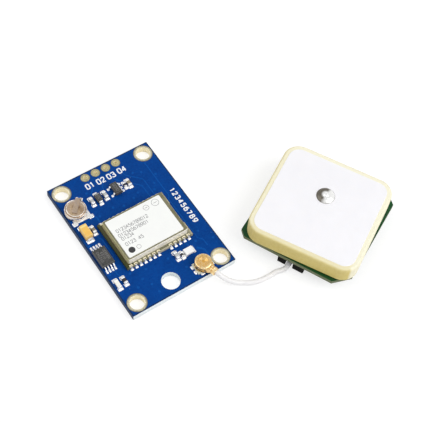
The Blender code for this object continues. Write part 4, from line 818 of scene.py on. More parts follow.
def buildBoard(look):
    width, length = look["size"]
    barrel = look["barrel"] + 0.02
    holes = [circle(x, y, look["screwRadius"] + barrel) for x, y in look["screwHoles"]]
    holes += [circle(x, y, look["headerRadius"] + barrel, 40) for x, y in look["headerHoles"]]
    holes += [circle(*look["plainHole"], 80)]
    outline = rectRings(0, 0, width, length, look["corner"], 0, 3)[0, :, :2]
    low, bevel = look["padHeight"], look["bevel"]
    board = plate([outline, *holes], low, boardTop, bevel)
    parts = boardParts(board, low, boardTop, bevel, "boardMask", "boardEdge")
    addPiece("boardLaminate", parts, ["main_board"], stainAndPaintedLight=boardStain)
    bare = []
    for kind, key, gold in (("mounting", "screw", "padGold"), ("header", "header", "headerGold")):
        places, hole, pad = [look[key + what] for what in ("Holes", "Radius", "Pad")]
        reach = hole + 0.3 * look["lip"] + 0.001
        shape = sleeve(hole, pad, look["barrel"], look["lip"], look["padHeight"])
        wall, face = splitFaces(shape, lambda points: np.hypot(points[:, 0], points[:, 1]) < reach)
        band = ringBand(pad, pad + look["maskGap"], boardTop - sunk, boardTop + 0.004)
        for number, (x, y) in enumerate(places, start=1):
            parts = [(move(wall, x, y), "barrelGold"), (move(face, x, y), gold)]
            replaced = [f"{kind}_sleeve_{number}"]
            addPiece(f"{kind}Sleeve{number}", parts, replaced, ringStain(x, y))
            bare.append((move(band, x, y), "bareLaminate"))
    addPiece("maskOpenings", bare)
    inset, wide = look["rimLine"]
    rim = rectRings(0, 0, width - 2 * inset, length - 2 * inset, look["corner"], 0, 3)[0, :, :2]
    rim = line(rim, wide, boardTop - sunk, boardTop + 0.003, closed=True)
    addPiece("boardRim", [(rim, "boardRim")])


buildBoard(mainBoard)
print("main board built")

# receiver module
receiver = {
    "middle": (0.0, -1.9),
    "carrier": (16.0, 12.2),
    "carrierTop": 2.43,
    "recess": (0.3, 5.5),
    "pitch": 1.1,
    "fromLeft": (-7.0, 7),
    "fromRight": (7.0, 5),
    "gapMiddle": 1.1,
    "notch": 0.26,
    "topPad": (0.36, 0.52),
    "footSolder": [(0.12, 0.68, 0.84), (-0.08, 0.36, 0.16)],
    "carrierLitShares": (0.0, 0.15, 0.75, 0.95),
    "carrierShadedShares": (0.0, 0.15, 0.75, 0.28),
    "litGap": 1.3,
    "litCorner": 7.4,
    "can": (14.6, 10.8, 0.5),
    "canHeights": (2.46, 4.06),
    "canShadeShares": (0.95, 0.8, 0.45, 0.0),
    "canShadeFade": 0.38,
    # seam: gap, width and point count of the dark line at the can's foot, which is painted shade
    "seam": (0.07, 0.16, 21),
    "roof": (14.4, 10.56, 0.4),
    "label": (13.28, 9.9, 0.3),
    "labelShift": (-0.21, -0.05),
    "labelHeights": (4.09, 4.19),
}


def castellations(look):
    # where the notches are: counted by the pitch from the left end and back from the right end
    left, leftCount = look["fromLeft"]
    right, rightCount = look["fromRight"]
    fromLeft = left + look["pitch"] * np.arange(leftCount)
    return np.concatenate([fromLeft, right - look["pitch"] * np.arange(rightCount)[::-1]])


def carrierOutline(look):
    # the carrier's edge: half circles cut into both long sides, a shallow recess in the right side
    x, y = look["middle"]
    width, depth = look["carrier"]
    bite, length = look["recess"]
    half = np.linspace(0, math.pi, 9)
    places = castellations(look)
    notchX = places[:, None] - look["notch"] * np.cos(half)
    notchY = -depth / 2 + look["notch"] * np.sin(half) + 0 * notchX
    bottom = np.stack([notchX, notchY], -1).reshape(-1, 2)
    top = -bottom[::-1] * (-1, 1)
    right = [(width / 2, -depth / 2), (width / 2, -length / 2), (width / 2 - bite, -length / 2)]
    right += [(width / 2 - bite, length / 2), (width / 2, length / 2), (width / 2, depth / 2)]
    left = [(-width / 2, depth / 2), (-width / 2, 0.12 - depth / 2), (-width / 2, -depth / 2)]
    return np.vstack([bottom, right, top, left]) + (x, y)


def halfHole(radius, wall, low, high):
    # plating inside a half-round notch: an arc of a tube, open to -Y
    turn = np.linspace(0.12, math.pi - 0.12, 9)
    inner, outer = radius - wall, radius + 0.01
    arcs = [(inner, low), (outer, low), (outer, high), (inner, high)]
    rings = [np.stack([r * np.cos(turn), r * np.sin(turn), z + 0 * turn], -1) for r, z in arcs]
    return skin(np.stack(rings, 1))


def notchPad(look):
    # the pad on the carrier's face round one notch, which opens to -Y
    half, depth = look["topPad"]
    turn = np.linspace(0, math.pi, 9)
    radius = look["notch"] - 0.02
    arc = np.stack([-radius * np.cos(turn), 0.02 + radius * np.sin(turn)], 1)
    outline = np.vstack([[(-half, 0.02)], arc, [(half, 0.02), (half, depth), (-half, depth)]])
    top = look["carrierTop"]
    return plate([outline], top - 0.012, top + 0.016, 0.004)


def canTarnish(points):
    # painted shade on the can's walls: deepest on the left, none on the front; every side's share
    # grows from its foot to its top
    low, high = receiver["canHeights"]
    share = sideStain(points, receiver["middle"], receiver["can"], receiver["canShadeShares"])
    return faded(share, (points[:, 2] - low) / (high - low), receiver["canShadeFade"])


def carrierStain(points):
    # painted light, pale on the right, on the front between the pad groups and at the front right
    # corner; the left and the rest of the front stay dark as painted shade
    given = points, receiver["middle"], receiver["carrier"]
    pale, dark = [sideStain(*given, receiver[key]) for key in ("carrierLitShares", "carrierShadedShares")]
    gap = abs(points[:, 0] - receiver["gapMiddle"]) < receiver["litGap"]
    return np.where(gap | (points[:, 0] > receiver["litCorner"]), pale, dark)


def buildReceiver(look):
    x, y = look["middle"]
    width, depth = look["carrier"]
    top = look["carrierTop"]
    parts = [(plate([carrierOutline(look)], seat, top, 0.02), "moduleMask")]
    addPiece("moduleCarrier", parts, ["receiver_carrier"], carrierStain)
    shape = halfHole(look["notch"], 0.035, seat + 0.01, top + 0.012)
    pad = notchPad(look)
    plating, solder = [], []
    for side in (-1, 1):
        turn = 0.0 if side < 0 else math.pi
        edge = y + side * depth / 2
        for place in castellations(look) + x:
            # the half-holes' plating takes the painted shade inside the notches
            plating.append((move(shape, place, edge, 0, turn), "notchBrown"))
            plating.append((move(pad, place, edge, 0, turn), "barrelGold"))
            outer, inner = [(place, edge + side * out, *size) for out, *size in look["footSolder"]]
            solder.append(fillet(outer, inner, boardTop, top - 0.12))
    addPiece("carrierHalfHoles", plating)
    addPiece("carrierSolder", dressed(solder, "solder"))
    canWidth, canDepth, corner = look["can"]
    low, high = look["canHeights"]
    outside, edgeShare = slab(low, high, 0.03, 0.22, 6, 0.02)
    outside, edgeShare = np.vstack([outside, [(0.75, high)]]), np.append(edgeShare, 0)
    can = move(loft(canWidth, canDepth, corner, (outside, edgeShare), 8), x, y)
    addPiece("moduleCan", [(can, "canSteel")], ["receiver_can"], canTarnish)
    # a dark line at the can's foot along the back and the left side only: painted shade where the
    # can meets the carrier on its shaded sides
    gap, wide, seen = look["seam"]
    around = rectRings(x, y, canWidth + 2 * gap, canDepth + 2 * gap, corner, 0, 6)[0, :seen, :2]
    addPiece("canFootShade", [(line(around, wide, top - sunk, top + 0.022), "notchBrown")])
    # a dark film on the can's flat roof round the label: painted shade and painted dark reflection
    roof = loft(*look["roof"], slab(high - 0.08, high + 0.006, 0.01, 0.03, 3), 6)
    addPiece("canRoofShade", [(move(roof, x, y), "canShade")])
    low, high = look["labelHeights"]
    label = loft(*look["label"], slab(low - 0.03, high, 0.01, 0.04, 3), 6)
    shiftX, shiftY = look["labelShift"]
    parts = [(move(label, x + shiftX, y + shiftY), "labelPaper")]
    addPiece("moduleLabel", parts, ["receiver_label"])


labelPrint = {
    "rows": [
        ("0123456789012", -5.94, 1.7, -0.15),
        ("012345678901", -6.0, 1.0, -1.33),
        ("01234", -5.9, -3.1, -2.3),
        ("0123 45", -5.9, -1.65, -3.8),
    ],
    "rowHeight": 0.76,
    "stroke": 0.12,
    "ringStroke": 0.1,
    "ink": 0.007,
    "dot": (-5.41, -5.49, 0.72),
    "rings": [(-3.77, -5.56, 0.46), (2.45, 1.63, 0.62), (4.75, 1.74, 0.8)],
}


def buildLabelPrint(look, top):
    # every mark is a thin raised skin of ink
    low, high = top - sunk, top + look["ink"]
    ink = []
    for word, left, right, y in look["rows"]:
        points, faces, edge = digits(word, look["rowHeight"], 0, 0, top, weight=look["stroke"])
        points = points * (abs(right - left) / np.ptp(points[:, 0]), 1, 1)
        ink.append(move((points, faces, edge), (left + right) / 2, y))
    for x, y, radius in look["rings"]:
        ink.append(line(circle(x, y, radius, 40), look["ringStroke"], low, high, closed=True))
    for x, y, radius in look["rings"][1:]:
        dash = [(x - 0.5 * radius, y), (x + 0.5 * radius, y)]
        ink.append(line(dash, look["stroke"], low, high))
    x, y, radius = look["dot"]
    dot = turned([(radius, low), (radius, high), (radius - 0.02, high + 0.002)], 40)
    addPiece("labelPrint", [*dressed(ink, "labelInk"), (move(dot, x, y), "labelDot")])


buildReceiver(receiver)
buildLabelPrint(labelPrint, receiver["labelHeights"][1])
print("receiver module built")

# backup cell
backupCell = {
    "place": (-9.9, 9.7),
    "radius": 2.4,
    "heights": (1.78, 3.18),
    "ripple": (0.24, 0.008),
    "spots": [
        (-0.35, -0.35, 0.26, 1.0), (0.75, -0.1, 0.3, 0.8),
        (-0.1, 0.6, 0.28, 0.7), (0.9, -1.0, 0.45, 0.5),
    ],
    "bottomTab": (-9.55, 9.0, 4.1, 4.0),
    "tabThick": 0.12,
    "topTabWidth": 1.1,
    "topTabFoot": 3.25,
    "topTabTurn": math.radians(48),
}


def cellStain(points):
    # darker patches on the cap: sums of round bell curves
    x, y = backupCell["place"]
    cap = points[:, 2] > backupCell["heights"][1] - 0.05
    total = sum(
        deep * np.exp(-((points[:, 0] - x - a) ** 2 + (points[:, 1] - y - b) ** 2) / (2 * size**2))
        for a, b, size, deep in backupCell["spots"]
    )
    return np.clip(total, 0, 1) * cap


def buildCell(look):
    x, y = look["place"]
    low, high = look["heights"]
    # the cap is turned metal: its height falls and rises as a cosine of the radius
    pitch, deep = look["ripple"]
    inner = np.linspace(0.02, 1.86, 62)
    cap = np.stack([inner, high - deep * (0.5 - 0.5 * np.cos(2 * math.pi * inner / pitch))], 1)
    side = [(1.94, -0.01), (2.0, -0.05), (2.03, -0.12), (2.04, -0.3), (2.08, -0.34), (2.15, -0.33)]
    side += [(2.2, -0.24), (2.28, -0.2), (2.36, -0.26), (look["radius"], -0.38)]
    foot = [(look["radius"], low + 0.16), (2.37, low + 0.06), (2.28, low), (0.02, low)]
    profile = np.vstack([cap, np.array(side) + (0, high), foot])
    edge = np.zeros(len(profile))
    edge[-16:] = [0.2, 0.5, 1, 1, 0.8, 0.2, 0, 0, 0.5, 1, 1, 0.9, 0.6, 0.5, 0.3, 0]
    case = move(turned(profile, 96, edge=edge), x, y)
    addPiece("cellCase", [(case, "cellSteel")], ["backup_cell"], stainAndPaintedLight=cellStain)
    tabX, tabY, width, length = look["bottomTab"]
    thick = look["tabThick"]
    tab = move(loft(width, length, 0.2, slab(seat, seat + thick, 0.02, 0.04, 3), 4), tabX, tabY)
    addPiece("cellBottomTab", [(tab, "tinPlate")], ["cell_bottom_tab"])
    rise = high + 0.03 - seat + 0.06
    path = [(-1.2, rise), (2.52, rise), (2.52, 0.08), (3.56, 0.08)]
    bent = strip(rounded(path, 0.16), look["topTabWidth"], thick)
    bent = move(bent, x, y, seat, look["topTabTurn"])
    addPiece("cellTopTab", [(bent, "tabNickel")], ["cell_top_tab"])
    cos, sin = math.cos(look["topTabTurn"]), math.sin(look["topTabTurn"])
    foot = fillet((0, 0, 1.0, 1.5), (-0.1, 0, 0.7, 1.0), boardTop, seat + thick)
    blob = fillet((0, 0, 1.1, 1.0), (0, 0, 0.6, 0.5), boardTop, seat + 0.2)
    corners = [(tabX + dx * (width / 2 - 0.1), tabY - length / 2 + 0.15) for dx in (-1, 1)]
    reach = look["topTabFoot"]
    solder = [move(foot, x + reach * cos, y + reach * sin, 0, look["topTabTurn"])]
    solder += [move(blob, *corner) for corner in corners]
    addPiece("cellSolder", dressed(solder, "solder"))


buildCell(backupCell)

# tantalum capacitor
tantalum = {
    "place": (-10.8, 3.9),
    "size": (1.7, 3.2),
    "heights": (1.78, 3.38),
    "band": (1.36, 0.42, 1.05),
    "terminal": (1.2, 0.12, 0.9, 0.8),
}


def buildTantalum(look):
    x, y = look["place"]
    width, length = look["size"]
    low, high = look["heights"]
    middle = (low + high) / 2
    profile = [(0.13, low), (0.1, low), (0.05, low + 0.03), (0.0, middle - 0.03)]
    profile += [(0.0, middle + 0.03), (0.05, high - 0.09), (0.07, high - 0.04)]
    profile += [(0.12, high), (0.16, high)]
    edgeShare = np.array([0, 0, 0.3, 0.3, 0.3, 0.5, 1, 1, 0])
    body = move(loft(width, length, 0.12, (np.array(profile), edgeShare), 4), x, y)
    bandWidth, bandLength, bandY = look["band"]
    band = loft(bandWidth, bandLength, 0.03, slab(high - 0.02, high + 0.004, 0.002, 0.002, 1), 2)
    parts = [(body, "tantalumOrange"), (move(band, x, y + bandY), "tantalumBand")]
    addPiece("tantalumCase", parts, ["tantalum_body"])
    wide, thick, rise, reach = look["terminal"]
    path = [(0.09, rise), (0.09, thick / 2), (-reach, thick / 2)]
    shape = strip(rounded(path, 0.1), wide, thick)
    solder = []
    for end, sign in ((1, "plus"), (-1, "minus")):
        place = (x, y + end * length / 2)
        name = "tantalumTerminal" + sign.capitalize()
        parts = [(move(shape, *place, seat, end * math.pi / 2), "tinPlate")]
        addPiece(name, parts, [f"tantalum_terminal_{sign}"])
        outer = (x, place[1] + end * 0.22, 1.7, 1.0)
        inner = (x, place[1] + end * 0.05, 1.1, 0.2)
        solder.append(fillet(outer, inner, boardTop, seat + 0.62))
    addPiece("tantalumSolder", dressed(solder, "solder"))


buildTantalum(tantalum)

# chips that lie along Y: CAD node, place, (length, width, height, metal end), body, slot
usual = (1.6, 0.8, 0.7, 0.42)
small = (1.12, 0.56, 0.49, 0.3)
chips = {
    "rowCapacitor1": ("row_capacitor_1", (-5.7, 10.1), usual, "capacitorPale", "capacitor_ceramic"),
    "rowCapacitor2": ("row_capacitor_2", (-2.5, 10.1), usual, "capacitorPale", "capacitor_ceramic"),
    "rowCapacitor3": ("row_capacitor_3", (3.41, 10.1), usual, "capacitorTan", "capacitor_ceramic"),
    "rowResistor": ("row_resistor", (2.43, 10.1), small, "resistorTop", "resistor"),
    "sideCapacitor": ("side_capacitor", (-9.05, 3.9), usual, "capacitorTan", "capacitor_ceramic"),
    "statusLight": ("status_led", (-11.4, -9.7), (2.0, 0.9, 0.7, 0.42), "lightLens", "light"),
    "lightResistor": ("led_resistor", (-9.8, -9.7), usual, "resistorTop", "resistor"),
    "feedCapacitor": ("feed_capacitor", (2.4, -10.4), usual, "capacitorPale", "capacitor_ceramic"),
    "feedResistor": ("feed_resistor", (3.48, -10.8), small, "resistorTop", "resistor"),
}
feedCoil = {"place": (5.16, -10.8), "size": (2.0, 1.6, 0.6, 0.26), "solder": (0.6, 0.1)}


def chipShapes(size, body, metal="tinPlate"):
    # a ceramic bar between two metal ends that wrap round it
    length, width, height, end = size
    bar = slab(seat + 0.03, seat + height - 0.03, 0.03, 0.05, 3)
    bar = loft(width - 0.06, length - 0.16, 0.04, bar, 3)
    cap = loft(width, end, 0.07, slab(seat, seat + height, 0.05, 0.08, 4), 4)
    shift = (length - end) / 2
    return [(bar, body), (move(cap, y=shift), metal), (move(cap, y=-shift), metal)]


def chipSolder(size, reach=0.9, spill=0.26):
    # a meniscus from the pad's outline up to each end of the chip
    length, width, height, _ = size
    shapes = []
    for end in (-1, 1):
        outer = (0, end * (length / 2 + 0.1), width + spill, reach)
        inner = (0, end * (length / 2 - 0.1), width - 0.12, 0.14)
        shapes.append(fillet(outer, inner, boardTop, seat + 0.72 * height))
    return shapes


def buildChips():
    for name, (cad, (x, y), size, body, slot) in chips.items():
        parts = [(move(shape, x, y), look) for shape, look in chipShapes(size, body)]
        addPiece(name, parts, [cad])
        solder = [move(shape, x, y) for shape in chipSolder(size)]
        addPiece(name + "Solder", dressed(solder, "solder"))
    place = (*feedCoil["place"], 0, math.pi / 2)
    shapes = chipShapes(feedCoil["size"], "coilWhite", "coilWhite")
    parts = [(move(shape, *place), look) for shape, look in shapes]
    addPiece("feedCoil", parts, ["feed_inductor"])
    solder = [move(s, *place) for s in chipSolder(feedCoil["size"], *feedCoil["solder"])]
    addPiece("feedCoilSolder", dressed(solder, "solder"))


buildChips()

# leaded chips: each foot is (way along its side, which side, axis it points along)
leadThickness = 0.15
leaded = {
    "memory": {
        "place": (-10.7, -2.9),
        "size": (3.0, 4.4, 1.0),
        "lead": (0.26, 1.1),
        "feet": [(side * (0.65 * k - 0.975), side, "Y") for side in (-1, 1) for k in range(4)],
        "marks": [
            ("012345", 0.52, -0.72, 0.1), ("0123", 0.52, 0.05, 0.1), ("000000", 0.52, 0.82, 0.1),
        ],
        "dot": (-1.05, -1.7, 0.2),
    },
    "regulator": {
        "place": (0.2, 10.1),
        "size": (1.6, 2.9, 1.1),
        "lead": (0.4, 0.6),
        "feet": [(0.95, 1, "X"), (0.0, 1, "X"), (-0.95, 1, "X"), (-0.95, -1, "X"), (0.95, -1, "X")],
        "marks": [("0000", 0.6, 0.0, 0.0)],
        "dot": (-0.42, -1.1, 0.11),
    },
    "diode": {
        "place": (-4.15, 10.1),
        "size": (1.3, 1.9, 1.0),
        "lead": (0.8, 0.6),
        "feet": [(0.0, 1, "Y"), (0.0, -1, "Y")],
        "marks": [("00", 0.5, 0.0, -0.15)],
        "band": (0.96, 0.24, 0.62),
    },
}


def mouldedBody(width, length, height):
    # a moulded case, widest at the parting line half-way up
    low, high = seat + 0.05, seat + height
    middle = (low + high) / 2
    profile = [(0.16, low), (0.12, low), (0.09, low + 0.03), (0.01, middle - 0.04), (0.0, middle)]
    profile += [(0.01, middle + 0.04), (0.07, high - 0.07), (0.09, high - 0.03)]
    profile += [(0.13, high), (0.17, high)]
    edgeShare = np.array([0, 0, 0.3, 0.2, 0.5, 0.2, 0.6, 1, 0.8, 0])
    return loft(width, length, 0.06, (np.array(profile), edgeShare), 4)


def caseMarks(look, top):
    # laser marks and the sign for the first pin, all a hair above the case
    turn, wide = math.pi / 2, 0.07
    shapes = [digits(word, tall, x, y, top, turn, wide) for word, tall, x, y in look["marks"]]
    parts = dressed(shapes, "laserMark")
    if "dot" in look:
        x, y, radius = look["dot"]
        rim = [(radius, top - sunk), (radius, top + 0.006), (radius - 0.04, top + 0.004)]
        parts.append((move(turned(rim, 24), x, y), "labelDot"))
    if "band" in look:
        wide, deep, y = look["band"]
        band = loft(wide, deep, 0.03, slab(top - sunk, top + 0.008, 0.002, 0.002, 1), 2)
        parts.append((move(band, 0, y), "laserMark"))
    return parts


def buildLeaded(name, look):
    x, y = look["place"]
    width, length, height = look["size"]
    wide, reach = look["lead"]
    thick = leadThickness
    parts = [(mouldedBody(width, length, height), "moulding"), *caseMarks(look, seat + height)]
    parts = [(move(shape, x, y), finishName) for shape, finishName in parts]
    addPiece(name + "Case", parts, [name + "_body"])
    path = [(-0.05, height), (0.3 * reach, height), (0.6 * reach, thick), (reach, thick)]
    shape = strip(rounded(np.array(path) * (1, 0.5), 0.12), wide, thick)
    outer = (0.86 * reach, 0, 0.62 * reach + 0.22, wide + 0.16)
    foot = fillet(outer, (0.82 * reach, 0, 0.3 * reach, wide * 0.8), boardTop, seat + 0.13)
    solder = []
    for number, (along, side, axis) in enumerate(look["feet"], start=1):
        if axis == "Y":
            place, turn = (x + along, y + side * length / 2), side * math.pi / 2
        else:
            place, turn = (x + side * width / 2, y + along), 0.0 if side > 0 else math.pi
        lead = [(move(shape, *place, seat, turn), "tinPlate")]
        addPiece(f"{name}Lead{number}", lead, [f"{name}_lead_{number}"])
        solder.append(move(foot, *place, 0, turn))
    addPiece(name + "Solder", dressed(solder, "solder"))


for name, look in leaded.items():
    buildLeaded(name, look)
print("board parts built")

# antenna socket and plug
socket = {
    "place": (5.8, -15.15),
    "base": (3.9, 2.7, 0.35),
    "tabs": [
        (-1.95, -0.55, 0.7, 0.7), (-1.95, 0.75, 0.7, 0.7),
        (1.95, 0.0, 0.7, 1.6), (-0.9, -1.45, 0.8, 0.6),
    ],
    "capBase": 2.04,
    "capHeight": 1.65,
    "capRadius": 1.82,
    "bore": 1.03,
    "neckTurn": math.radians(-72),
    "neckHeight": 2.83,
    "neckLength": 3.4,
    "cableBore": 0.62,
    "shoulder": [
        (0.9, 2.8, 2.6, 1.36, 0.2),
        (1.5, 2.8, 2.5, 1.4, 0.22),
        (1.9, 2.82, 2.1, 1.42, 0.26),
        (2.2, 2.83, 1.76, 1.46, 0.4),
        (2.36, 2.83, 1.62, 1.44, 0.5),
    ],
}


def plugCap(look):
    # cap of the plug from its roof's middle outwards, down the side and up inside again
    radius, high, bore = look["capRadius"], look["capHeight"], look["bore"]
    roof = [
        (0.02, high - 0.1), (0.34, high - 0.1), (0.4, high - 0.07), (0.8, high - 0.06),
        (0.88, high - 0.02), (0.98, high), (radius - 0.26, high), (radius - 0.16, high - 0.02),
        (radius - 0.07, high - 0.07),
    ]
    outside = [
        (radius - 0.01, high - 0.16), (radius, high - 0.26), (radius, high - 0.75),
        (radius - 0.03, high - 0.8), (radius - 0.03, high - 0.9), (radius, high - 0.95),
        (radius, 0.06), (radius - 0.05, 0.0),
    ]
    inside = [(bore + 0.04, 0.0), (bore, 0.05), (bore, high - 0.4), (bore - 0.05, high - 0.35)]
    inside += [(0.02, high - 0.35)]
    # the edge share here places the plug's painted highlight on its roof's rings and its rim
    edge = np.zeros(len(roof + outside + inside))
    edge[:15] = [0, 0, 0.5, 0.2, 0.6, 0.3, 0.7, 1, 1, 1, 0.8, 0, 0.4, 0.4, 0]
    return turned(roof + outside + inside, 72, edge=edge)


def plugNeck(look):
    # the crimped neck: a tube along X with its own radius at each station and a dip at the seam
    end, bore = look["neckLength"], look["cableBore"]
    # each station is (along, radius, seam dip, edge share); the edge share places painted highlight
    # on the crimp's ridges
    stations = [
        (1.4, 0.74, 0, 0), (1.9, 0.74, 0, 0), (2.05, 0.74, 0, 0), (2.1, 0.8, 0.5, 0.5),
        (2.14, 0.86, 1, 1), (2.42, 0.86, 1, 1), (2.46, 0.78, 0.5, 0.6), (2.56, 0.74, 0, 0),
        (2.6, 0.8, 0.5, 0.6), (2.64, 0.87, 1, 1), (3.3, 0.87, 1, 0.8), (3.36, 0.85, 1, 1),
        (end, 0.8, 0.5, 1), (end, bore, 0, 0), (2.3, bore, 0, 0),
    ]
    along, radius, seam, edge = np.array(stations).T
    turn = np.linspace(0, 2 * math.pi, 48, endpoint=False)
    fromTop = np.minimum(turn, 2 * math.pi - turn)
    dip = 0.16 * np.exp(-((fromTop / 0.16) ** 2)) * seam[:, None]
    flatness = 1 - 0.1 * np.clip(-np.cos(turn), 0, 1) ** 2
    r = (radius[:, None] - dip) * flatness
    rings = np.stack([along[:, None] + 0 * r, -r * np.sin(turn), r * np.cos(turn)], -1)
    return skin(rings, edge=edge)


def sweepX(stations, steps=6):
    # rounded rectangles across X: a station is (x, height of its middle, width, height, corner)
    x, z, width, height, corner = np.asarray(stations, float).T
    flat = rectRings(0 * x, 0 * x, width, height, corner, 0 * x, steps)
    rings = np.stack([flat[..., 2] + x[:, None], flat[..., 0], flat[..., 1] + z[:, None]], -1)
    return skin(rings, edge=np.linspace(0.2, 0.8, len(x)))


def buildSocket(look):
    x, y = look["place"]
    width, depth, thick = look["base"]
    base = move(loft(width, depth, 0.12, slab(seat, seat + thick, 0.03, 0.06, 3), 4), x, y)
    addPiece("socketBase", [(base, "socketPlastic")], ["socket_base"])
    cap = move(plugCap(look), x, y, look["capBase"])
    neck = move(plugNeck(look), x, y, look["neckHeight"], look["neckTurn"])
    shoulder = move(sweepX(look["shoulder"]), x, y, 0, look["neckTurn"])
    parts = dressed((cap, neck, shoulder), "plugGold")
    plug = addPiece("leadPlug", parts, ["coax_plug"])
    tabs = []
    for dx, dy, wide, deep in look["tabs"]:
        outer = (x + dx, y + dy, wide + 0.25, deep + 0.15)
        inner = (x + dx, y + dy, wide * 0.6, deep * 0.6)
        tabs.append(fillet(outer, inner, boardTop, seat + 0.2))
    addPiece("socketSolder", dressed(tabs, "solder"))
    return plug


plug = buildSocket(socket)
print("socket and plug built")

# patch antenna: (side, corner, low, high) for its square layers
antenna = {
    "origin": (21.306, -24.762),
    "turn": math.radians(-63.33),
    "skew": math.radians(3.4),
    "side": 25.0,
    "chamfers": (1.3, 1.3, 1.3, 3.2),
    "board": (2.83, 3.83),
    "bevel": 0.03,
    "feedHole": 0.5,
    "tape": (23.2, 2.7, 3.84, 4.04),
    "ceramic": (24.7, 3.6, 4.05, 8.05),
    "litTopShares": (0.82, 0.95, 0.98, 0.6),
    "litWallShares": (0.1, 0.6, 0.85, 0.0),
    "litFades": [(0.72, 0.1), (0.28, 0.6)],
    "electrode": (22.5, 2.5, 8.05, 8.13),
    "feed": (-0.2, 2.7),
    "feedRadius": 2.0,
    "feedFoot": 8.14,
    "feedHeight": 0.72,
    "feedDark": (-0.4, 0.917),
    "crescent": (0.95, 0.3, 0.22, -0.3, 0.45),
    "footRing": (0.45, 0.9, 0.06),
    "shield": (17.0, 1.6, 2.8, 0.3),
    "shieldPlace": (-1.5, 14.0),
    "slotPlace": (7.0, 9.6, 1.95),
    "clip": (-0.2, 1.3, 6.0, 1.6, 2.74),
    "clipGap": (-0.34, 1.7, 2.2),
}


def onAntenna(shape):
    # from the antenna's own frame, whose origin is the middle of its front edge, to the board's
    x, y = antenna["origin"]
    return move(shape, x, y, 0, antenna["turn"])


def onCeramic(shape):
    # the same for what sits on the antenna's middle, turned by the skew against its board
    return onAntenna(move(shape, 0, antenna["side"] / 2, 0, antenna["skew"]))


def intoCeramic(points):
    # the way back from onCeramic: points in the ceramic's own frame
    turn, skew = -antenna["turn"], -antenna["skew"]
    shifted = points - (*antenna["origin"], 0.0)
    onBoard = move((shifted, [], []), turn=turn)[0] - (0.0, antenna["side"] / 2, 0.0)
    return move((onBoard, [], []), turn=skew)[0]


def chamferedOutline(side, chamfers):
    # a square whose corners are cut at 45 degrees, each by its own length
    half = side / 2
    backRight, backLeft, frontLeft, frontRight = chamfers
    corners = [(half, half - backRight), (half - backRight, half), (backLeft - half, half)]
    corners += [(-half, half - backLeft), (-half, frontLeft - half), (frontLeft - half, -half)]
    return np.array([*corners, (half - frontRight, -half), (half, frontRight - half)])


def ceramicShape(look):
    # the block's profile with more levels in its side, so that the painted light on its shoulder
    # fades downwards
    side, corner, low, high = look["ceramic"]
    profile, edgeShare = slab(low, high, 0.25, 0.5, 8)
    levels = np.array([low + 1.2, low + 2.2, high - 1.3, high - 0.9, high - 0.65])
    profile = np.vstack([profile[:10], np.stack([0 * levels, levels], 1), profile[10:]])
    edgeShare = np.concatenate([edgeShare[:10], 0 * levels, edgeShare[10:]])
    return onCeramic(loft(side, side, corner, (profile, edgeShare), 20))


def paleShoulder(points):
    # painted light, paler on the top face and on the sides that face the light: from its share on
    # the top face to its share on the wall by a sum of exponentials
    side, _, _, high = antenna["ceramic"]
    given = intoCeramic(points), (0, 0), (side, side)
    top, wall = [sideStain(*given, antenna[key]) for key in ("litTopShares", "litWallShares")]
    down = np.clip(high - points[:, 2], 0, None)
    fade = sum(part * np.exp(-down / depth) for part, depth in antenna["litFades"])
    return wall + (top - wall) * fade


def feedDome(look):
    # a head of solder: a flattened dome with a rim, and the pin's end standing in its middle
    radius, high, foot = look["feedRadius"], look["feedHeight"], look["feedFoot"]
    s = np.linspace(0, 1, 26)
    wide = 0.02 + (radius - 0.02) * s
    shape = (1 - s**2.6) ** 0.75
    pin = 0.12 * np.exp(-((wide / 0.42) ** 4)) - 0.05 * np.exp(-(((wide - 0.62) / 0.16) ** 2))
    height = foot + (high - 0.12) * shape + pin
    shank = [(radius, foot - 0.05), (0.46, foot - 0.05), (0.46, 2.72), (0.02, 2.72)]
    return turned(np.vstack([np.stack([wide, height], 1), shank]), 72)


def feedStain(points):
    # painted dark reflection and painted shade on the solder: a crescent on one side of the middle,
    # and a thin ring at the foot
    x, y = onCeramic((np.array([[*antenna["feed"], 0.0]]), [], []))[0][0, :2]
    dx, dy = points[:, 0] - x, points[:, 1] - y
    r = np.hypot(dx, dy) + 1e-6
    share = r / antenna["feedRadius"]
    facing = (dx * antenna["feedDark"][0] + dy * antenna["feedDark"][1]) / r
    deep, start, width, startFacing, widthFacing = antenna["crescent"]
    crescent = deep * (ramp(share, start, width) * ramp(facing, startFacing, widthFacing))
    ringDeep, ringStart, ringWidth = antenna["footRing"]
    return np.maximum(crescent, ringDeep * ramp(share, ringStart, ringWidth))


def shieldTub(look):
    # the shield is an open tub with its mouth up; a slot for the lead is cut through its wall
    side, corner, high, wall = look["shield"]
    outside, edgeShare = slab(0.0, high, 0.45, 0.02, 5)
    inside, _ = slab(wall, high, 0.3, 0.02, 4)
    inside = inside + (wall, 0.0)
    profile = np.vstack([outside[:-2], [(0.0, high)], [(wall, high)], inside[::-1][2:]])
    edgeShare = np.concatenate([edgeShare[:-2], np.zeros(len(profile) - len(edgeShare) + 2)])
    tub = onAntenna(move(loft(side, side, corner, (profile, edgeShare), 10), *look["shieldPlace"]))
    parts = [(tub, "shieldSteel")]
    shield = addPiece("amplifierShield", parts, ["amplifier_shield"])
    slotX, slotY, slotZ = look["slotPlace"]
    slot = loft(1.6, 1.73, 0.3, slab(slotZ - 0.87, high + 1.0, 0.3, 0.1), 5)
    cut(shield, onAntenna(move(slot, slotX, slotY)))


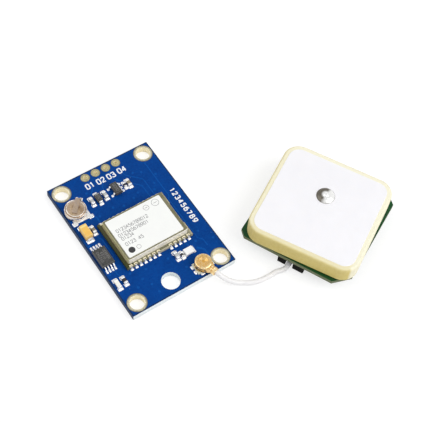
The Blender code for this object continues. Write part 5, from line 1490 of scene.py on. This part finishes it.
def buildClip(look):
    # two uprights with a gap for the lead between them, and a bridge over the gap; their flat black
    # is painted shade where shade falls under the antenna board's front edge
    x, y, wide, deep, tall = look["clip"]
    gapX, gap, gapHigh = look["clipGap"]
    ends = [(-wide / 2, gapX - gap / 2), (gapX + gap / 2, wide / 2)]
    upright = slab(0.03, tall, 0.08, 0.08, 3)
    shapes = [move(loft(b - a, deep, 0.12, upright, 4), x + (a + b) / 2, y) for a, b in ends]
    bridge = loft(gap + 0.5, deep - 0.04, 0.05, slab(gapHigh, tall - 0.02, 0.08, 0.04, 3), 3)
    shapes.append(move(bridge, x + gapX, y))
    parts = dressed(map(onAntenna, shapes), "clipFoam")
    addPiece("leadClipShade", parts, ["lead_clip"])


def buildAntenna(look):
    low, high = look["board"]
    outline = chamferedOutline(look["side"], look["chamfers"]) + (0, look["side"] / 2)
    cos, sin = math.cos(look["skew"]), math.sin(look["skew"])
    feedX, feedY = look["feed"]
    holeX, holeY = feedX * cos - feedY * sin, feedX * sin + feedY * cos + look["side"] / 2
    hole = circle(holeX, holeY, look["feedHole"], 32)
    board = onAntenna(plate([outline, hole], low, high, look["bevel"]))
    parts = boardParts(board, low, high, look["bevel"], "antennaMask", "antennaEdge")
    addPiece("antennaLaminate", parts, ["antenna_board"])
    side, corner, low, high = look["tape"]
    tape = onCeramic(loft(side, side, corner, slab(low, high, 0.02, 0.02, 2), 12))
    addPiece("antennaTape", [(tape, "tapeBlack")], ["antenna_tape"])
    block = [(ceramicShape(look), "antennaCeramic")]
    addPiece("antennaBlock", block, ["antenna_ceramic"], stainAndPaintedLight=paleShoulder)
    side, corner, low, high = look["electrode"]
    patch = onCeramic(loft(side, side, corner, slab(low - 0.02, high, 0.01, 0.05, 3), 16))
    addPiece("antennaPatch", [(patch, "firedSilver")], ["antenna_electrode"])
    dome = onCeramic(move(feedDome(look), *look["feed"]))
    addPiece("feedPin", [(dome, "feedSolder")], ["antenna_feed_pin"], stainAndPaintedLight=feedStain)
    shieldTub(look)
    buildClip(look)


buildAntenna(antenna)
print("antenna built")

# silkscreen, traces and vias
markings = {
    "paint": 1.606,
    "stroke": 0.27,
    "numberHeight": 1.22,
    "headerNumbers": [
        ("01", -3.95, 13.95), ("02", -1.31, 13.85), ("03", 1.24, 13.85), ("04", 3.95, 13.95),
    ],
    "scaleHeight": 1.05,
    "scale": (10.55, 3.9, -5.1, 9),
}


def buildMarkings(look):
    high, stroke, tall = look["paint"], look["stroke"], look["numberHeight"]
    shapes = [digits(word, tall, x, y, high, 0, stroke) for word, x, y in look["headerNumbers"]]
    x, start, end, count = look["scale"]
    for number, y in enumerate(np.linspace(start, end, count), start=1):
        shapes.append(digits(str(number), look["scaleHeight"], x, y, high, -math.pi / 2, stroke))
    addPiece("silkscreen", dressed(shapes, "silkWhite"))


copper = {
    "heights": (1.596, 1.61),
    "viaRadius": 0.3,
    "bend": 0.35,
    "lines": [
        (0.3, [(-3.81, 15.2), (-3.81, 13.0), (-4.8, 12.0), (-4.8, 11.6)]),
        (0.3, [(-1.27, 15.2), (-1.27, 12.9), (-1.9, 12.3), (-1.9, 11.8)]),
        (0.25, [(1.27, 15.2), (1.27, 12.6), (5.6, 8.2), (5.6, 4.8)]),
        (0.25, [(3.81, 15.2), (3.81, 12.4), (6.7, 9.5), (6.7, 4.8)]),
        (0.4, [(-8.4, 8.0), (-6.8, 6.4), (-6.8, 4.9)]),
        (0.25, [(-9.0, 2.4), (-9.0, 1.6), (-8.6, 1.2), (-8.6, -3.4), (-8.9, -3.7)]),
        (0.25, [(-10.2, -6.6), (-10.2, -7.8), (-9.8, -8.2), (-9.8, -8.4)]),
        (0.35, [(4.8, -9.9), (5.9, -9.9), (5.9, -8.8)]),
        (0.45, [(7.1, -10.8), (8.3, -12.0), (8.3, -14.0), (7.9, -14.4)]),
        (0.25, [(9.2, 13.0), (9.2, 3.0), (8.6, 2.4), (8.6, -9.0), (9.4, -9.8), (9.4, -11.6)]),
    ],
    "vias": [
        (-5.6, 12.6), (5.6, 12.0), (7.3, 11.2), (8.2, 7.4), (7.4, 6.0), (9.7, 9.2),
        (-7.4, 12.6), (-7.6, 6.8), (-6.1, 6.2), (2.4, 6.4), (3.9, 7.1), (-2.6, 6.6),
        (-0.4, 5.8), (9.6, -7.6), (7.8, -9.4), (0.6, -9.9), (-4.6, -9.6), (-6.4, -11.2),
        (-7.9, -8.8), (-8.2, -12.4), (2.8, -13.6), (-5.0, -15.4), (11.4, -10.6), (-11.6, -6.9),
        (-11.7, 1.0), (-5.4, -13.2),
    ],
}


def via(radius, low, high):
    # a lacquered via: a low ring with a dent in its middle
    dent, rim = high - 0.004, high + 0.004
    return turned([(0.03, dent), (0.1, dent), (0.14, rim), (radius - 0.05, rim), (radius, low)], 20)


def tracks(lines, low, high, side=1):
    # traces with rounded bends and the board's vias; on the underside (side -1) X changes sign
    shapes = [line(rounded(path, copper["bend"], 4), width, low, high) for width, path in lines]
    ring = via(copper["viaRadius"], low, high)
    return shapes + [move(ring, side * x, y) for x, y in copper["vias"]]


def buildCopper(look):
    shapes = tracks(look["lines"], *look["heights"])
    addPiece("copperUnderMask", dressed(shapes, "maskOverCopper"))


# undersides: drawn as seen from below, so X changes sign when they are turned over
underside = {
    "boardLow": 0.03,
    "depth": 0.014,
    "lines": [
        (0.6, [(3.81, 15.2), (3.81, 11.0), (6.4, 8.4), (6.4, -4.0), (8.6, -6.2), (8.6, -9.0)]),
        (0.3, [(1.27, 15.2), (1.27, 9.0), (3.0, 7.2), (3.0, -2.0), (5.4, -4.4), (5.4, -8.0)]),
        (0.3, [(-1.27, 15.2), (-1.27, 10.4), (-2.6, 9.0), (-2.6, 1.0), (-5.2, -1.6), (-5.2, -6.0)]),
        (0.6, [(-3.81, 15.2), (-3.81, 12.0), (-7.2, 8.6), (-7.2, 0.0),
               (-9.4, -2.2), (-9.4, -11.4)]),
        (0.45, [(-8.3, -14.0), (-8.3, -11.8), (-6.0, -9.5), (-1.0, -9.5),
                (2.0, -12.5), (6.8, -12.5)]),
    ],
    "numbers": [
        ("01", 3.81, 13.95), ("02", 1.27, 13.95), ("03", -1.27, 13.95), ("04", -3.81, 13.95),
    ],
    "testPads": [(9.6, 4.2), (9.6, 1.6), (9.6, -1.0)],
    "tackReach": (2.2, 0.7),
    "tackPlaces": (-5.2, 0.0, 5.2),
    "border": (24.0, 0.5),
}


def turnOver(shape, z):
    # half a turn about Y: X and Z change sign, so the faces still point outwards
    return shape[0] * (-1, 1, -1) + (0, 0, z), shape[1], shape[2]


def buildUnderside(look):
    low, depth = -0.004, look["depth"]
    shapes = tracks(look["lines"], low, depth, -1)
    tall, stroke = markings["numberHeight"], markings["stroke"]
    words = [digits(word, tall, x, y, depth / 2, weight=stroke) for word, x, y in look["numbers"]]
    spot = turned([(0.03, depth), (0.52, depth), (0.55, depth - 0.004), (0.55, low)], 32)
    pads = [move(spot, x, y) for x, y in look["testPads"]]
    parts = dressed(shapes, "maskOverCopper") + dressed(words, "silkWhite")
    parts += dressed(pads, "padGold")
    parts = [(turnOver(shape, look["boardLow"]), finishName) for shape, finishName in parts]
    addPiece("boardUnderside", parts)


def buildShieldSolder(look):
    # tacks of solder between the shield's wall and the antenna's board, and the border round it
    side = antenna["shield"][0]
    x, y = antenna["shieldPlace"]
    boardLow = antenna["board"][0]
    reach, high = look["tackReach"]
    border, width = look["border"]
    low, depth = -0.004, look["depth"]
    parts = []
    for turn in np.arange(4) * math.pi / 2:
        for along in look["tackPlaces"]:
            inner = (along, side / 2 + 0.02, reach * 0.6, 0.16)
            tack = turnOver(fillet((along, side / 2 + 0.3, reach, 1.0), inner, 0.0, high), boardLow)
            parts.append((onAntenna(move(move(tack, turn=turn), x, y)), "solder"))
    corners = np.array([(-1, -1), (1, -1), (1, 1), (-1, 1)]) * (border / 2 - 1.0)
    path = rounded(np.vstack([corners, corners[:2]]), 1.2, 6)[1:-1]
    ring = turnOver(line(path, width, low, depth, closed=True), boardLow)
    parts.append((onAntenna(move(ring, 0, antenna["side"] / 2)), "tinPlate"))
    addPiece("antennaUnderside", parts)


buildMarkings(markings)
buildCopper(copper)
buildUnderside(underside)
buildShieldSolder(underside)
print("markings and undersides made")

# CAD parts that keep their own shape
kept = {
    "receiver_chip": ("moulding", "chip_moulding"),
    "amplifier_chip": ("moulding", "chip_moulding"),
    "socket_shell": ("padGold", "plating"),
    "socket_pin": ("padGold", "plating"),
}
for name, (look, slot) in kept.items():
    nodes[name].material_slots[0].material = finishes[look]
print("kept parts dressed:", len(kept))
